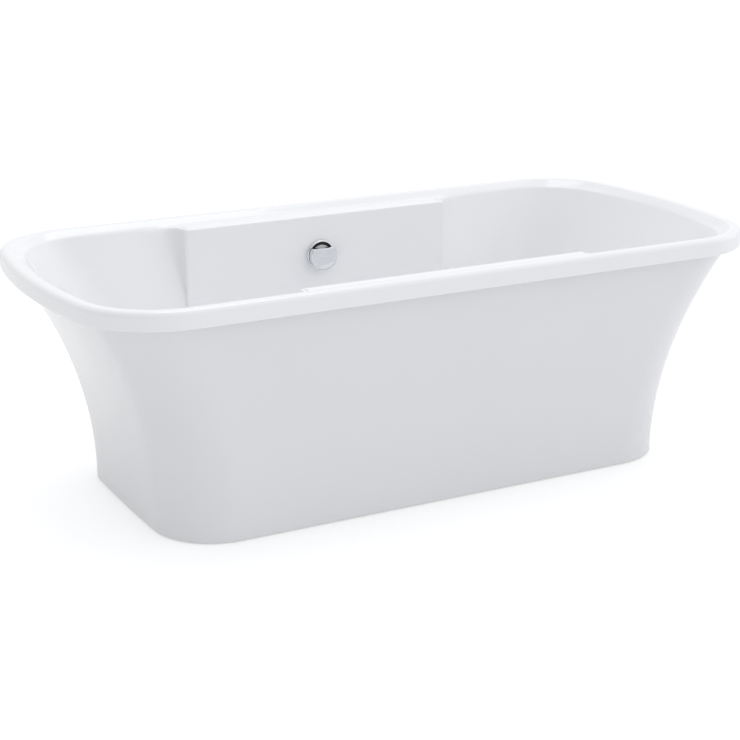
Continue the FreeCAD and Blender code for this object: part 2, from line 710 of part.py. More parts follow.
# Knob: a round disc with a flat on top and a facet low on its front, on a spindle with the cable's cam
knob = rod(at_y(knob_front_y), ACROSS, KNOB_R, KNOB)
knob = knob.common(block(
    V(-KNOB_R - 1, knob_front_y - 1, overflow_z - KNOB_R - 1),
    V(KNOB_R + 1, knob_back_y + 1, overflow_z + KNOB_FLAT),
))
knob = knob.makeFillet(KNOB_EDGE_R, edges_in_front(knob, knob_front_y))
facet_down = V(sin(FACET_RISE), 0, -cos(FACET_RISE))
facet_out = facet_down * sin(FACET_LEAN) - ACROSS * cos(FACET_LEAN)
knob = knob.cut(rod(at_y(knob_front_y) + facet_down * KNOB_FACET, facet_out, 2 * KNOB_R, KNOB))
spindle_y = knob_back_y - SPINDLE_IN_KNOB
spindle_end_y = box_y + BOX - BOX_WALL - GAP
export("overflow_knob", knob.cut(rod(at_y(spindle_y), ACROSS, SPINDLE_R + FIT, SPINDLE_IN_KNOB + 1)))
export("knob_spindle", rod(at_y(spindle_y), ACROSS, SPINDLE_R, spindle_end_y - spindle_y))
export("cable_cam", tube(at_y(hose_top_y - CAM / 2), ACROSS, CAM_R, SPINDLE_R + FIT, CAM))

# Housing behind the panel, with a spigot for the hose and a gland for the cable
export("overflow_gasket", tube(at_y(panel_back_y), ACROSS, BOX_R, OVERFLOW_HOLE_R, BOX_GASKET))
hose_axis = at_y(hose_top_y)
cable_axis = hose_axis + ALONG * CABLE_OFFSET
housing = fuse(
    rod(at_y(box_y), ACROSS, BOX_R, BOX),
    rod(hose_axis, -UP, HOSE_R - HOSE_WALL - FIT, BOX_R + SPIGOT),
    rod(cable_axis, -UP, GLAND_R, BOX_R + GLAND / 2),
)
housing = housing.cut([
    rod(at_y(box_y + BOX_WALL), ACROSS, BOX_R - BOX_WALL, BOX - 2 * BOX_WALL),
    rod(at_y(box_y - 1), ACROSS, SLEEVE_R + FIT, BOX_WALL + 2),
    rod(hose_axis, -UP, HOSE_R - 2 * HOSE_WALL, BOX_R + SPIGOT + 1),
    rod(cable_axis, -UP, CABLE_R + FIT, BOX_R + GLAND),
])
export("overflow_housing", housing)


def gap_middle_y(z):
    """Halfway between the rear deck's back and the skirt's inside."""
    back = min(panel_back_y, basin_section(max(z, FLOOR_Z))[1] + SHELL)
    front = skirt_section(z)[1] - SKIRT_WALL
    return (back + front) / 2


def down_and_under(x, top_z, end_y):
    """Route down behind the panel, bending where it meets the sloping wall, then under the floor."""
    neck_z = overflow_z - BOX_R - NECK
    share = (1 - DECK_DEPTH / SIDE_SLOPE)**(1 / SIDE_CURVE)
    bend_z = between(FLOOR_Z, ledge_z, share) - HOSE_R
    low_z = between(bend_z, port_z, 0.5)
    return [
        V(x, hose_top_y, top_z),
        V(x, hose_top_y, neck_z),
        V(x, gap_middle_y(bend_z) + BEND_OUT, bend_z),
        V(x, gap_middle_y(low_z), low_z),
        V(x, gap_middle_y(port_z) - 2 * HOSE_R, port_z),
        V(x, end_y, port_z),
    ]


hose_route = down_and_under(0, overflow_z - BOX_R - GAP, body_r + GAP)
hose = sweep(hose_route, HOSE_R).cut(sweep(hose_route, HOSE_R - HOSE_WALL))
export("overflow_hose", hose)
cable_route = down_and_under(CABLE_OFFSET, overflow_z - BOX_R, body_r - BODY_WALL / 2)
export("control_cable", sweep(cable_route, CABLE_R))


def hose_clamp(start, direction):
    return tube(start, direction, HOSE_R + FIT + CLAMP, HOSE_R + FIT, CLAMP_WIDTH)


clamp_top = V(0, hose_top_y, overflow_z - BOX_R - CLAMP_WIDTH)
clamp_end = V(0, body_r + CLAMP_WIDTH / 2, port_z)
export("hose_clamps", hose_clamp(clamp_top, -UP), hose_clamp(clamp_end, ACROSS))
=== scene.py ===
from math import cos, pi, radians, sin, tau

import bpy
import numpy as np
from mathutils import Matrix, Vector


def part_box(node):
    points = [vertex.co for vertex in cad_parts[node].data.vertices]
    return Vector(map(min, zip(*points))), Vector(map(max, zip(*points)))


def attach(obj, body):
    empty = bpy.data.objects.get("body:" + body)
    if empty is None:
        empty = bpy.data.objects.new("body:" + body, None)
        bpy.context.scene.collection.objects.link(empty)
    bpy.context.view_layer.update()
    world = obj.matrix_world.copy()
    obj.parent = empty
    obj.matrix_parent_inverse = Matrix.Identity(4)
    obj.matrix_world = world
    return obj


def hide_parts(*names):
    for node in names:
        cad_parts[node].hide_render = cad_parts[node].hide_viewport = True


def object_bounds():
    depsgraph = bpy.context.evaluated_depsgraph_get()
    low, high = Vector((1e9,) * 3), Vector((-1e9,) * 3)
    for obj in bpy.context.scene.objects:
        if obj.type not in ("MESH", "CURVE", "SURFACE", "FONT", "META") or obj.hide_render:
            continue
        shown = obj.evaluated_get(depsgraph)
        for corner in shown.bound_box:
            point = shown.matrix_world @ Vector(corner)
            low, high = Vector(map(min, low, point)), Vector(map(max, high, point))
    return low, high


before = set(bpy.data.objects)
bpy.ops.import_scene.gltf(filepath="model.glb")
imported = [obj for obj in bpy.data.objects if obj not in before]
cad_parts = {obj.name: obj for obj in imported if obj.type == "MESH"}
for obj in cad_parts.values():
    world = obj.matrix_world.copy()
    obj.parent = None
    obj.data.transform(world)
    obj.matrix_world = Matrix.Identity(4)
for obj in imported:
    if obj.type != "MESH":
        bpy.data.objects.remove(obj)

# ---- Camera ---------------------------------------------------------------------------
# It stands before the near long side, towards the left end and a little above the rim, and
# looks at the middle of the bath from about four metres, so that the far deck shows.

cad_low, cad_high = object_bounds()
middle = (cad_low + cad_high) / 2

view_azimuth = radians(-28.47)
view_elevation = radians(16.70)
back = Vector((
    sin(view_azimuth) * cos(view_elevation),
    -cos(view_azimuth) * cos(view_elevation),
    sin(view_elevation),
))
right = Vector((cos(view_azimuth), sin(view_azimuth), 0))
above = back.cross(right)

camera = bpy.data.objects.new("camera", bpy.data.cameras.new("camera"))
camera.data.lens = 83.76
camera.data.sensor_width = 36.0
camera.location = middle + back * 4.083
aim = middle - right * 0.022 - above * 0.051
camera.rotation_euler = (aim - camera.location).to_track_quat("-Z", "Y").to_euler()
bpy.context.scene.collection.objects.link(camera)
bpy.context.scene.camera = camera

# ---- Inner tub --------------------------------------------------------------------------
# One sheet of cast acrylic drawn over a mould: a rolled lip, a slope down to the basin, a deck
# in the middle of each long wall, sloping walls and a flat floor with a recess for the waste.

length, width, height = cad_high - cad_low
half_width = width / 2

LIP_HEIGHT = 0.040
LIP_ROUND = 0.013
LIP_WALL = 0.008
LIP_EDGE = 0.0025
CREST_INSET = 0.027
BASIN_INSET = 0.046
RIM_DROP = 0.015
RIM_SHEET = 0.008
SHELL = 0.006
FLOOR_Z = 0.125
END_SLOPE = 0.214
SIDE_SLOPE = 0.107
FILLET_HEIGHT = 0.057
FLOOR_CORNER = 0.152     # radii and bows of the basin's plan, at the floor and at the ledge
LEDGE_CORNER = 0.151
FLOOR_BOW = 0.026
LEDGE_BOW = 0.0637
SIDE_CURVE = 1.1         # exponents of the walls' slow curve
END_CURVE = 1.15
RIM_CORNER = 0.197
RIM_BOW = 0.062
DECK_HALF = 0.358
DECK_DEPTH = 0.059
DECK_CORNER = 0.008
DECK_RETURN = 0.050
CREASE = 0.024           # over this depth the deck's panel melts into the sloping wall
DRAIN = 0.0241
RECESS = 0.0353
RECESS_DEPTH = 0.002
OVERFLOW_HOLE = 0.024
WALL_EASE = 0.045        # the wall begins to melt into the rim this far below the ledge
LEDGE_STEP = 0.010
# Reaches of the easing at the wall's edge, on the ledge, at the slope's foot and at the crest
DECK_EASES = (0.006, 0.006, 0.009, 0.006)
OPEN_EASES = (0.020, 0.008, 0.012, 0.006)

ledge_z = height - RIM_DROP
lip_z = height - LIP_HEIGHT
wall_y = half_width - BASIN_INSET
hollow_x = DECK_HALF + DECK_RETURN

# Columns run from the middle of a long side round the corner to the tip of the end.
panel_columns = np.linspace(0, 1, 12)
round_columns = np.linspace(0, pi / 2, 7)[1:]
hollow_columns = np.linspace(0, pi / 2, 14)[1:]
beyond_columns = np.linspace(0, 1, 10)[1:-1]
corner_columns = np.linspace(0, 1, 25)
end_columns = np.linspace(0, 1, 23)[1:]


def end_radius(half_wide, bow):
    """Radius of an end arc: (half width squared + bow squared) / (2 bow)."""
    return (half_wide**2 + bow**2) / (2 * bow)


def basin(z):
    """Plan of the basin at height z: each half size shrinks by slope * (1 - share ** exponent), and
    the corner radius and the bow of the ends run evenly from floor to ledge."""
    share = np.clip((z - FLOOR_Z) / (ledge_z - FLOOR_Z), 0, 1)
    half_wide = wall_y - SIDE_SLOPE * (1 - share**SIDE_CURVE)
    half_long = length / 2 - BASIN_INSET - END_SLOPE * (1 - share**END_CURVE)
    bow = FLOOR_BOW + (LEDGE_BOW - FLOOR_BOW) * share
    corner = FLOOR_CORNER + (LEDGE_CORNER - FLOOR_CORNER) * share
    return half_long, half_wide, corner, end_radius(half_wide, bow)


def rim(inset):
    """Plan of the lip's outer outline moved inwards by inset."""
    end_r = end_radius(half_width, RIM_BOW)
    return length / 2 - inset, half_width - inset, RIM_CORNER - inset, end_r - inset


def deck_edge(thickness):
    """Plan of the deck's face: straight, a quarter round at its corner, then a hollow quarter round
    that returns to the wall. A thickness moves it into the deck; the last two are its normals."""
    centre_x = DECK_HALF - DECK_CORNER
    corner = DECK_CORNER - thickness
    hollow = DECK_RETURN + thickness
    face_y = wall_y - DECK_DEPTH + thickness
    zero = panel_columns * 0
    x = np.hstack([
        centre_x * panel_columns,
        centre_x + corner * np.sin(round_columns),
        hollow_x - hollow * np.cos(hollow_columns),
    ])
    y = np.hstack([
        face_y + zero,
        face_y + corner * (1 - np.cos(round_columns)),
        wall_y - DECK_RETURN + hollow * np.sin(hollow_columns),
    ])
    normal_x = np.hstack([zero, -np.sin(round_columns), -np.cos(hollow_columns)])
    normal_y = np.hstack([zero + 1, np.cos(round_columns), np.sin(hollow_columns)])
    return x, y, normal_x, normal_y


def plan(section, straight_x):
    """A quarter of a plan outline and its outward normals: the long side at straight_x and on to the
    corner, the corner as an arc, the end as a flat arc tangent to it. Rows are heights."""
    half_long, half_wide, corner_r, end_r = [np.reshape(size, (-1, 1)) for size in section]
    end_x = half_long - end_r
    corner_y = half_wide - corner_r
    corner_x = end_x + np.sqrt((end_r - corner_r)**2 - corner_y**2)
    turn = np.arctan2(corner_y, corner_x - end_x)
    corner = pi / 2 + (turn - pi / 2) * corner_columns
    end = turn * (1 - end_columns)
    side_x = np.hstack([straight_x + 0 * end_x, hollow_x + (corner_x - hollow_x) * beyond_columns])
    x = np.hstack([side_x, corner_x + corner_r * np.cos(corner), end_x + end_r * np.cos(end)])
    y = np.hstack([half_wide + 0 * side_x, corner_y + corner_r * np.sin(corner), end_r * np.sin(end)])
    normal_x = np.hstack([0 * side_x, np.cos(corner), np.cos(end)])
    normal_y = np.hstack([0 * side_x + 1, np.sin(corner), np.sin(end)])
    return x, y, normal_x, normal_y


def at_height(x, y, z):
    """Grids of x and y, and a height for each row, as one grid of points."""
    return np.stack([x, y, np.broadcast_to(z, x.shape)], axis=-1)


def wall(z, thickness):
    """The basin's wall at heights z, grown outwards by thickness. In front of the deck it is the
    smaller of wall and deck face, less crease * h cubed / 6 where the two come near each other."""
    z = np.reshape(z, (-1, 1))
    deck_x, deck_y = deck_edge(thickness)[:2]
    x, y, normal_x, normal_y = plan([size + thickness for size in basin(z)], deck_x)
    count = len(deck_x) + len(beyond_columns)
    past = wall_y + thickness + 0.8 * (x[:, len(deck_x):count] - hollow_x)
    deck = np.hstack([deck_y + 0 * z, past])
    side = y[:, :count]
    near = np.clip(1 - np.abs(side - deck) / CREASE, 0, 1)
    y[:, :count] = np.minimum(side, deck) - CREASE * near**3 / 6
    return at_height(x, y, z), normal_x, normal_y


def fillet(foot_z, thickness, rows):
    """Rows of the round between floor and wall, from the floor up: circle arcs, as rational Bezier
    curves. Their two legs are equally long and meet where the wall would meet the floor, and the
    weight there is the cosine of half the turn."""
    foot, normal_x, normal_y = wall(foot_z, thickness)
    up = wall(FLOOR_Z + FILLET_HEIGHT, thickness)[0]
    lean = (up[..., 0] - foot[..., 0]) * normal_x + (up[..., 1] - foot[..., 1]) * normal_y
    leg = np.hypot(lean, up[0, 0, 2] - foot_z)
    start = foot - np.stack([normal_x * leg, normal_y * leg, 0 * leg], axis=-1)
    t = np.linspace(0, 1, rows).reshape(-1, 1, 1)
    middle_share = 2 * t * (1 - t) * np.sqrt((1 + lean / leg) / 2)[..., None]
    return ((1 - t)**2 * start + middle_share * foot + t**2 * up) / ((1 - t)**2 + middle_share + t**2)


def rim_rows(insets, z):
    """Rows of the lip: its outline moved inwards by each inset, at each height z."""
    x, y = plan(rim(np.array(insets)), deck_edge(0)[0])[:2]
    return at_height(x, y, np.reshape(z, (-1, 1)))


def between(start, end, rows):
    """Rows strictly between two rows of points, evenly spaced."""
    t = np.linspace(0, 1, rows + 2)[1:-1].reshape(-1, 1, 1)
    return start + (end - start) * t


def softened_path(corners, reaches, rows):
    """Evenly spaced rows along straight legs between corners. Each inner corner is eased over its
    reach w, which each column has its own: the change of direction times (w - distance) cubed /
    (6 w squared) is added."""
    legs = np.diff(corners, axis=0)
    spans = np.linalg.norm(legs, axis=-1)
    directions = legs / np.maximum(spans, 1e-9)[..., None]
    starts = np.vstack([0 * spans[:1], np.cumsum(spans, axis=0)])
    s = np.linspace(0, 1, rows)[:, None] * starts[-1]
    points = corners[0] + 0 * s[..., None]
    for direction, start, span in zip(directions, starts, spans):
        points = points + direction * np.clip(s - start, 0, span)[..., None]
    for i, reach in enumerate(reaches):
        near = np.clip(reach - np.abs(s - starts[i + 1]), 0, None)**3 / (6 * reach**2)
        points = points + (directions[i + 1] - directions[i]) * near[..., None]
    return points


def mirrored(quarter):
    """A quarter of the columns repeated in the other three, as one closed loop."""
    inner = quarter[:, -2::-1]
    return np.concatenate([
        quarter,
        inner * (1, -1, 1),
        quarter[:, 1:] * (-1, -1, 1),
        inner[:, :-1] * (-1, 1, 1),
    ], axis=1)


def closed_surface(name, points, capped=False, sharp=35):
    """A closed mesh from a grid of points whose columns form a loop. The last row joins the first, or
    capped closes both ends with a fan. Faces are turned outwards by the sign of the volume."""
    rows, columns = points.shape[:2]
    index = np.arange(rows * columns).reshape(rows, columns)
    low = index[:-1] if capped else index
    high = index[1:] if capped else np.roll(index, -1, axis=0)
    quads = np.stack([low, np.roll(low, -1, 1), np.roll(high, -1, 1), high], axis=-1).reshape(-1, 4)
    vertices = points.reshape(-1, 3)
    corners = vertices[quads]
    volume = np.einsum("ij,ij->", corners[:, 0], np.cross(corners[:, 1], corners[:, 2]))
    volume += np.einsum("ij,ij->", corners[:, 0], np.cross(corners[:, 2], corners[:, 3]))
    faces = quads.tolist()
    if capped:
        vertices = np.vstack([vertices, points[0].mean(axis=0), points[-1].mean(axis=0)])
        first, last = index[0], index[-1]
        faces += np.stack([first * 0 + rows * columns, np.roll(first, -1), first], axis=-1).tolist()
        faces += np.stack([last * 0 + rows * columns + 1, last, np.roll(last, -1)], axis=-1).tolist()
    if volume < 0:
        faces = [face[::-1] for face in faces]
    mesh = bpy.data.meshes.new(name)
    mesh.from_pydata(vertices, [], faces)
    mesh.shade_smooth()
    mesh.set_sharp_from_angle(angle=radians(sharp))
    piece = bpy.data.objects.new(name, mesh)
    bpy.context.scene.collection.objects.link(piece)
    return piece


def tub_rows():
    """The tub's rows, from the drain over floor, walls, ledge and lip, and back underneath. By the
    deck the eases are tight; along its hollow return they widen by share squared * (3 - 2 share)."""
    top_wall_z = ledge_z - WALL_EASE
    inside = fillet(FLOOR_Z, 0, 12)
    turn = np.arctan2(inside[0, :, 1], inside[0, :, 0])
    circle = np.stack([np.cos(turn), np.sin(turn), 0 * turn], axis=-1)
    spine = np.array([0, 0, 1.0])
    recess_z = FLOOR_Z - RECESS_DEPTH
    drain_r = np.array([DRAIN, DRAIN, 0.028, 0.0315, RECESS, RECESS])
    drain_z = np.array([recess_z - 0.002, recess_z, recess_z, recess_z, recess_z, FLOOR_Z])
    drain = drain_r[:, None, None] * circle + drain_z[:, None, None] * spine
    floor = between(drain[-1], inside[0], 14)
    walls = wall(np.linspace(FLOOR_Z + FILLET_HEIGHT, top_wall_z, 28)[1:-1], 0)[0]
    edge = wall([top_wall_z, ledge_z], 0)[0]
    slope = rim_rows([BASIN_INSET, CREST_INSET, LIP_ROUND], [ledge_z, height, height])
    normal_x, normal_y = deck_edge(0)[2:]
    onto_ledge = edge[1].copy()
    deck = len(normal_x)
    step = np.minimum(LEDGE_STEP, 0.45 * (slope[0, :, 1] - edge[1, :, 1]))
    onto_ledge[:deck, 0] += normal_x * step[:deck]
    onto_ledge[:deck, 1] += normal_y * step[:deck]
    corners = np.stack([edge[0], edge[1], onto_ledge, slope[0], slope[1], slope[2]])
    hollow = len(hollow_columns)
    share = np.clip((np.arange(edge.shape[1]) - deck + hollow) / hollow, 0, 1)
    melt = share * share * (3 - 2 * share)
    eases = zip(DECK_EASES, OPEN_EASES)
    reaches = [by_deck + melt * (elsewhere - by_deck) for by_deck, elsewhere in eases]
    top = softened_path(corners, reaches, 62)
    lip_turn = np.linspace(0, pi / 2, 14)[1:]
    outer = rim_rows(LIP_ROUND * (1 - np.sin(lip_turn)), height - LIP_ROUND * (1 - np.cos(lip_turn)))
    face = rim_rows([0, 0], [lip_z + 0.013, lip_z + 0.006])
    edge_turn = np.linspace(0, pi / 2, 5)
    along_edge = LIP_EDGE * (1 - np.sin(edge_turn))
    across_edge = LIP_EDGE * (1 - np.cos(edge_turn))
    bottom = rim_rows(across_edge, lip_z + along_edge)
    behind = rim_rows(LIP_WALL - along_edge, lip_z + across_edge)
    roof_z = ledge_z - RIM_SHEET
    hidden = rim_rows([LIP_WALL, LIP_WALL, LIP_WALL + 0.002], [lip_z + 0.008, roof_z - 0.002, roof_z])
    outside_top = wall(roof_z, SHELL)[0]
    roof = between(hidden[-1], outside_top[0], 7)
    outside = wall(np.linspace(roof_z - 0.003, FLOOR_Z + FILLET_HEIGHT + 0.005, 18), SHELL)[0]
    below = fillet(FLOOR_Z - SHELL, SHELL, 10)[::-1]
    drain_below = DRAIN * circle + (FLOOR_Z - SHELL) * spine
    underside = between(below[-1], drain_below, 8)
    return np.concatenate([
        drain, floor, inside, walls, top, outer, face, bottom, behind, hidden, roof, outside_top,
        outside, below, underside, drain_below[None],
    ])


def bored(piece, cutter):
    """Cuts the cutter out of the piece, for good, and removes it."""
    cut = piece.modifiers.new("bore", "BOOLEAN")
    cut.solver = "EXACT"
    cut.object = cutter
    bpy.context.view_layer.update()
    result = bpy.data.meshes.new_from_object(piece.evaluated_get(bpy.context.evaluated_depsgraph_get()))
    piece.modifiers.clear()
    piece.data = result
    bpy.data.objects.remove(cutter)
    result.set_sharp_from_angle(angle=radians(35))
    return piece


def lathe(name, profile, place, columns=96, axis="Z", capped=True, sharp=35):
    """A turned piece: radius and distance along the axis, from the profile, carried round it.
    The axis is Z, or Y for a piece that stands on the deck's panel."""
    radius, along = np.array(profile).T[:, :, None]
    angle = np.arange(columns) / columns * tau
    round_x, round_y = radius * np.cos(angle), radius * np.sin(angle)
    along = along + 0 * round_x
    parts = [round_x, round_y, along] if axis == "Z" else [round_x, along, round_y]
    return closed_surface(name, np.stack(parts, axis=-1) + np.array(place), capped, sharp)


ring_low, ring_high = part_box("overflow_ring")
overflow_z = (ring_low.z + ring_high.z) / 2
panel_y = ring_high.y

inner_tub = closed_surface("tub_shell", mirrored(tub_rows()))
bore = lathe("bore", [(OVERFLOW_HOLE, -0.006), (OVERFLOW_HOLE, 0.012)], (0, panel_y, overflow_z), 64, "Y")
bored(inner_tub, bore)


def node(tree, kind, settings=(), **inputs):
    """Adds a node. Each input is a number, a colour or the socket that feeds it."""
    made = tree.nodes.new(kind)
    for name, value in dict(settings).items():
        setattr(made, name, value)
    for name, value in inputs.items():
        socket = made.inputs[name.replace("_", " ")]
        if isinstance(value, bpy.types.NodeSocket):
            tree.links.new(value, socket)
        else:
            socket.default_value = value
    return made


def calculate(tree, operation, *values):
    """One step of arithmetic on numbers and sockets. Returns its output socket."""
    made = tree.nodes.new("ShaderNodeMath")
    made.operation = operation
    for socket, value in zip(made.inputs, values):
        if isinstance(value, bpy.types.NodeSocket):
            tree.links.new(value, socket)
        else:
            socket.default_value = value
    return made.outputs[0]


def spread(tree, value, low, high, to_low=0.0, to_high=1.0):
    """Maps a value from low..high to to_low..to_high, and keeps it there."""
    made = node(
        tree, "ShaderNodeMapRange",
        Value=value, From_Min=low, From_Max=high, To_Min=to_low, To_Max=to_high)
    return made.outputs[0]


def blended(tree, share, first, second):
    """Mixes two colours by a share."""
    made = tree.nodes.new("ShaderNodeMix")
    made.data_type = "RGBA"
    for socket, value in zip((made.inputs[0], made.inputs[6], made.inputs[7]), (share, first, second)):
        if isinstance(value, bpy.types.NodeSocket):
            tree.links.new(value, socket)
        else:
            socket.default_value = value
    return made.outputs[2]


def noise(tree, place, scale, detail=2.0, stretch=None):
    """Noise of one size, drawn out by stretch where it is given. Its output is about 0.3 to 0.7."""
    if stretch is not None:
        place = node(tree, "ShaderNodeMapping", Vector=place, Scale=stretch).outputs[0]
    return node(tree, "ShaderNodeTexNoise", Vector=place, Scale=scale, Detail=detail).outputs[0]


def effect(name, inputs, outputs):
    """A shared group with named number inputs and outputs. Returns the tree, its input sockets by
    name, its output node and a place socket on Object coordinates."""
    tree = bpy.data.node_groups.new(name, "ShaderNodeTree")
    for label, value in inputs.items():
        socket = tree.interface.new_socket(name=label, in_out="INPUT", socket_type="NodeSocketFloat")
        socket.default_value = value
    for label in outputs:
        tree.interface.new_socket(name=label, in_out="OUTPUT", socket_type="NodeSocketFloat")
    given = tree.nodes.new("NodeGroupInput")
    result = tree.nodes.new("NodeGroupOutput")
    place = tree.nodes.new("ShaderNodeTexCoord").outputs["Object"]
    return tree, given.outputs, result.inputs, place


def placed(tree, group, **inputs):
    """Places a shared group with its own input values. Returns its outputs."""
    made = tree.nodes.new("ShaderNodeGroup")
    made.node_tree = group
    for name, value in inputs.items():
        made.inputs[name.replace("_", " ")].default_value = value
    return made.outputs


def new_finish(name, **sockets):
    """A material with one Principled shader and its uniform numbers set on the shader."""
    material = bpy.data.materials.new(name)
    material.use_nodes = True
    tree = material.node_tree
    shader = tree.nodes["Principled BSDF"]
    for label, value in sockets.items():
        shader.inputs[label.replace("_", " ")].default_value = value
    return material, tree, shader, node(tree, "ShaderNodeTexCoord").outputs["Object"]


def surface(tree, shader, colour, roughness, relief, depth):
    """Feeds the shader's colour, its roughness, and a bump of the given depth in metres."""
    tree.links.new(colour, shader.inputs["Base Color"])
    tree.links.new(roughness, shader.inputs["Roughness"])
    bump = node(tree, "ShaderNodeBump", Strength=1.0, Distance=depth, Height=relief)
    tree.links.new(bump.outputs[0], shader.inputs["Normal"])


# Moulded gloss: long, very shallow waves of a drawn sheet, the fine peel of its skin, faint
# cloudiness in the colour, and hairlines from wiping.
moulded, given, result, place = effect(
    "moulded_gloss", {"Wave Size": 5.0, "Peel Size": 260.0, "Hairlines": 0.4},
    ["Relief", "Cloud", "Hairline"])
waves = node(moulded, "ShaderNodeTexNoise", Vector=place, Scale=given["Wave Size"], Detail=1.0).outputs[0]
peel = node(moulded, "ShaderNodeTexNoise", Vector=place, Scale=given["Peel Size"], Detail=1.0).outputs[0]
relief = calculate(moulded, "MULTIPLY_ADD", peel, 0.006, waves)
moulded.links.new(relief, result["Relief"])
moulded.links.new(spread(moulded, noise(moulded, place, 2.2, 4.0), 0.3, 0.7), result["Cloud"])
swirl = noise(moulded, place, 30.0, 3.0, (1.0, 14.0, 6.0))
wiped = calculate(moulded, "MULTIPLY", spread(moulded, swirl, 0.61, 0.66), given["Hairlines"])
moulded.links.new(wiped, result["Hairline"])

# Settled dust: lies on faces that look up, in soft patches with fine specks.
dust, given, result, place = effect("settled_dust", {"Amount": 0.3, "Patch Size": 6.0}, ["Dust"])
patches = node(dust, "ShaderNodeTexNoise", Vector=place, Scale=given["Patch Size"], Detail=5.0).outputs[0]
specks = spread(dust, noise(dust, place, 900.0, 1.0), 0.60, 0.70)
upward = node(dust, "ShaderNodeSeparateXYZ", Vector=node(dust, "ShaderNodeNewGeometry").outputs["Normal"])
lying = spread(dust, upward.outputs[2], 0.2, 0.95, 0.06, 1.0)
film = calculate(dust, "MULTIPLY_ADD", specks, 0.5, spread(dust, patches, 0.35, 0.70))
dusted = calculate(dust, "MULTIPLY", calculate(dust, "MULTIPLY", film, lying), given["Amount"])
dust.links.new(node(dust, "ShaderNodeClamp", Value=dusted).outputs[0], result["Dust"])

DUST_COLOUR = (0.52, 0.50, 0.47, 1)


def acrylic_finish(name, colour, shade, wave_size, dustiness):
    """Gloss white sanitary acrylic: two close whites in clouds, a wet coat, shallow waves."""
    material, tree, shader, _ = new_finish(
        name, Specular_IOR_Level=0.5, IOR=1.49, Coat_Weight=0.35, Coat_Roughness=0.04, Coat_IOR=1.49)
    skin = placed(tree, moulded, Wave_Size=wave_size)
    dust_film = placed(tree, dust, Amount=dustiness)["Dust"]
    white = blended(tree, skin["Cloud"], colour, shade)
    clouded = spread(tree, skin["Cloud"], 0, 1, 0.10, 0.16)
    rough = calculate(tree, "MULTIPLY_ADD", skin["Hairline"], 0.10, clouded)
    rough = calculate(tree, "MULTIPLY_ADD", dust_film, 0.8, rough)
    surface(tree, shader, blended(tree, dust_film, white, DUST_COLOUR), rough, skin["Relief"], 0.0016)
    return material


tub_acrylic = acrylic_finish("tub_acrylic", (0.905, 0.909, 0.922, 1), (0.893, 0.899, 0.912, 1), 4.0, 0.010)
inner_tub.data.materials.append(tub_acrylic)
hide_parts("inner_tub")
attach(inner_tub, "tub")

# ---- Deck battens and skirt blocks ------------------------------------------------------
# Sawn softwood: a batten is bonded under each ledge to stiffen it, and a short block sits at
# each end of the outer cross bars, cut to the skirt's inside, which is screwed to it.

grain, given, result, place = effect("sawn_grain", {"Ring Size": 90.0}, ["Rings", "Fibre"])
drawn = node(
    grain, "ShaderNodeMapping", Vector=place, Scale=(0.08, 1.0, 1.0), Rotation=(0, 0.03, 0.05)).outputs[0]
rings = node(
    grain, "ShaderNodeTexWave", {"wave_type": "RINGS", "rings_direction": "X"},
    Vector=drawn, Scale=given["Ring Size"], Distortion=3.0, Detail=3.0, Detail_Scale=1.5)
grain.links.new(rings.outputs[1], result["Rings"])
grain.links.new(noise(grain, place, 60.0, 5.0, (0.5, 12.0, 12.0)), result["Fibre"])


def use_finish(material, *names):
    """Gives CAD nodes a finish of the same name as their slot."""
    for name in names:
        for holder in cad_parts[name].material_slots:
            holder.material = material


timber, tree, shader, _ = new_finish("timber", Specular_IOR_Level=0.3)
wood = placed(tree, grain, Ring_Size=70.0)
early = blended(tree, wood["Rings"], (0.62, 0.45, 0.26, 1), (0.42, 0.26, 0.12, 1))
fibre = spread(tree, wood["Fibre"], 0.35, 0.65)
tone = blended(tree, calculate(tree, "MULTIPLY", fibre, 0.35), early, (0.30, 0.18, 0.08, 1))
tone = blended(tree, placed(tree, dust, Amount=0.35)["Dust"], tone, DUST_COLOUR)
surface(tree, shader, tone, spread(tree, fibre, 0, 1, 0.62, 0.85), fibre, 0.0004)
use_finish(
    timber, "deck_batten_front", "deck_batten_rear",
    *["skirt_block_" + corner for corner in ("front_left", "front_right", "rear_left", "rear_right")])

# ---- Base board -------------------------------------------------------------------------
# Particle board sealed with resin, bonded under the floor so that it can't flex. Pressed
# chips of several browns show through a thin satin film.

sealed, tree, shader, place = new_finish("sealed_board", Coat_Weight=0.2, Coat_Roughness=0.35)
chips = node(tree, "ShaderNodeTexVoronoi", Vector=place, Scale=170.0, Randomness=1.0)
chip = node(tree, "ShaderNodeSeparateColor", Color=chips.outputs["Color"]).outputs[0]
brown = blended(tree, chip, (0.60, 0.46, 0.30, 1), (0.30, 0.19, 0.10, 1))
blotch = spread(tree, noise(tree, place, 9.0, 4.0), 0.3, 0.7)
brown = blended(tree, calculate(tree, "MULTIPLY", blotch, 0.3), brown, (0.20, 0.13, 0.07, 1))
brown = blended(tree, placed(tree, dust, Amount=0.3)["Dust"], brown, DUST_COLOUR)
surface(tree, shader, brown, spread(tree, chip, 0, 1, 0.40, 0.62), chips.outputs["Distance"], 0.0003)
use_finish(sealed, "base_board")

# ---- Steel frame ------------------------------------------------------------------------
# Square tube, sawn and powder coated grey: four cross bars under the board and two rails
# under them. Zinc-plated screws go up through both into the board.

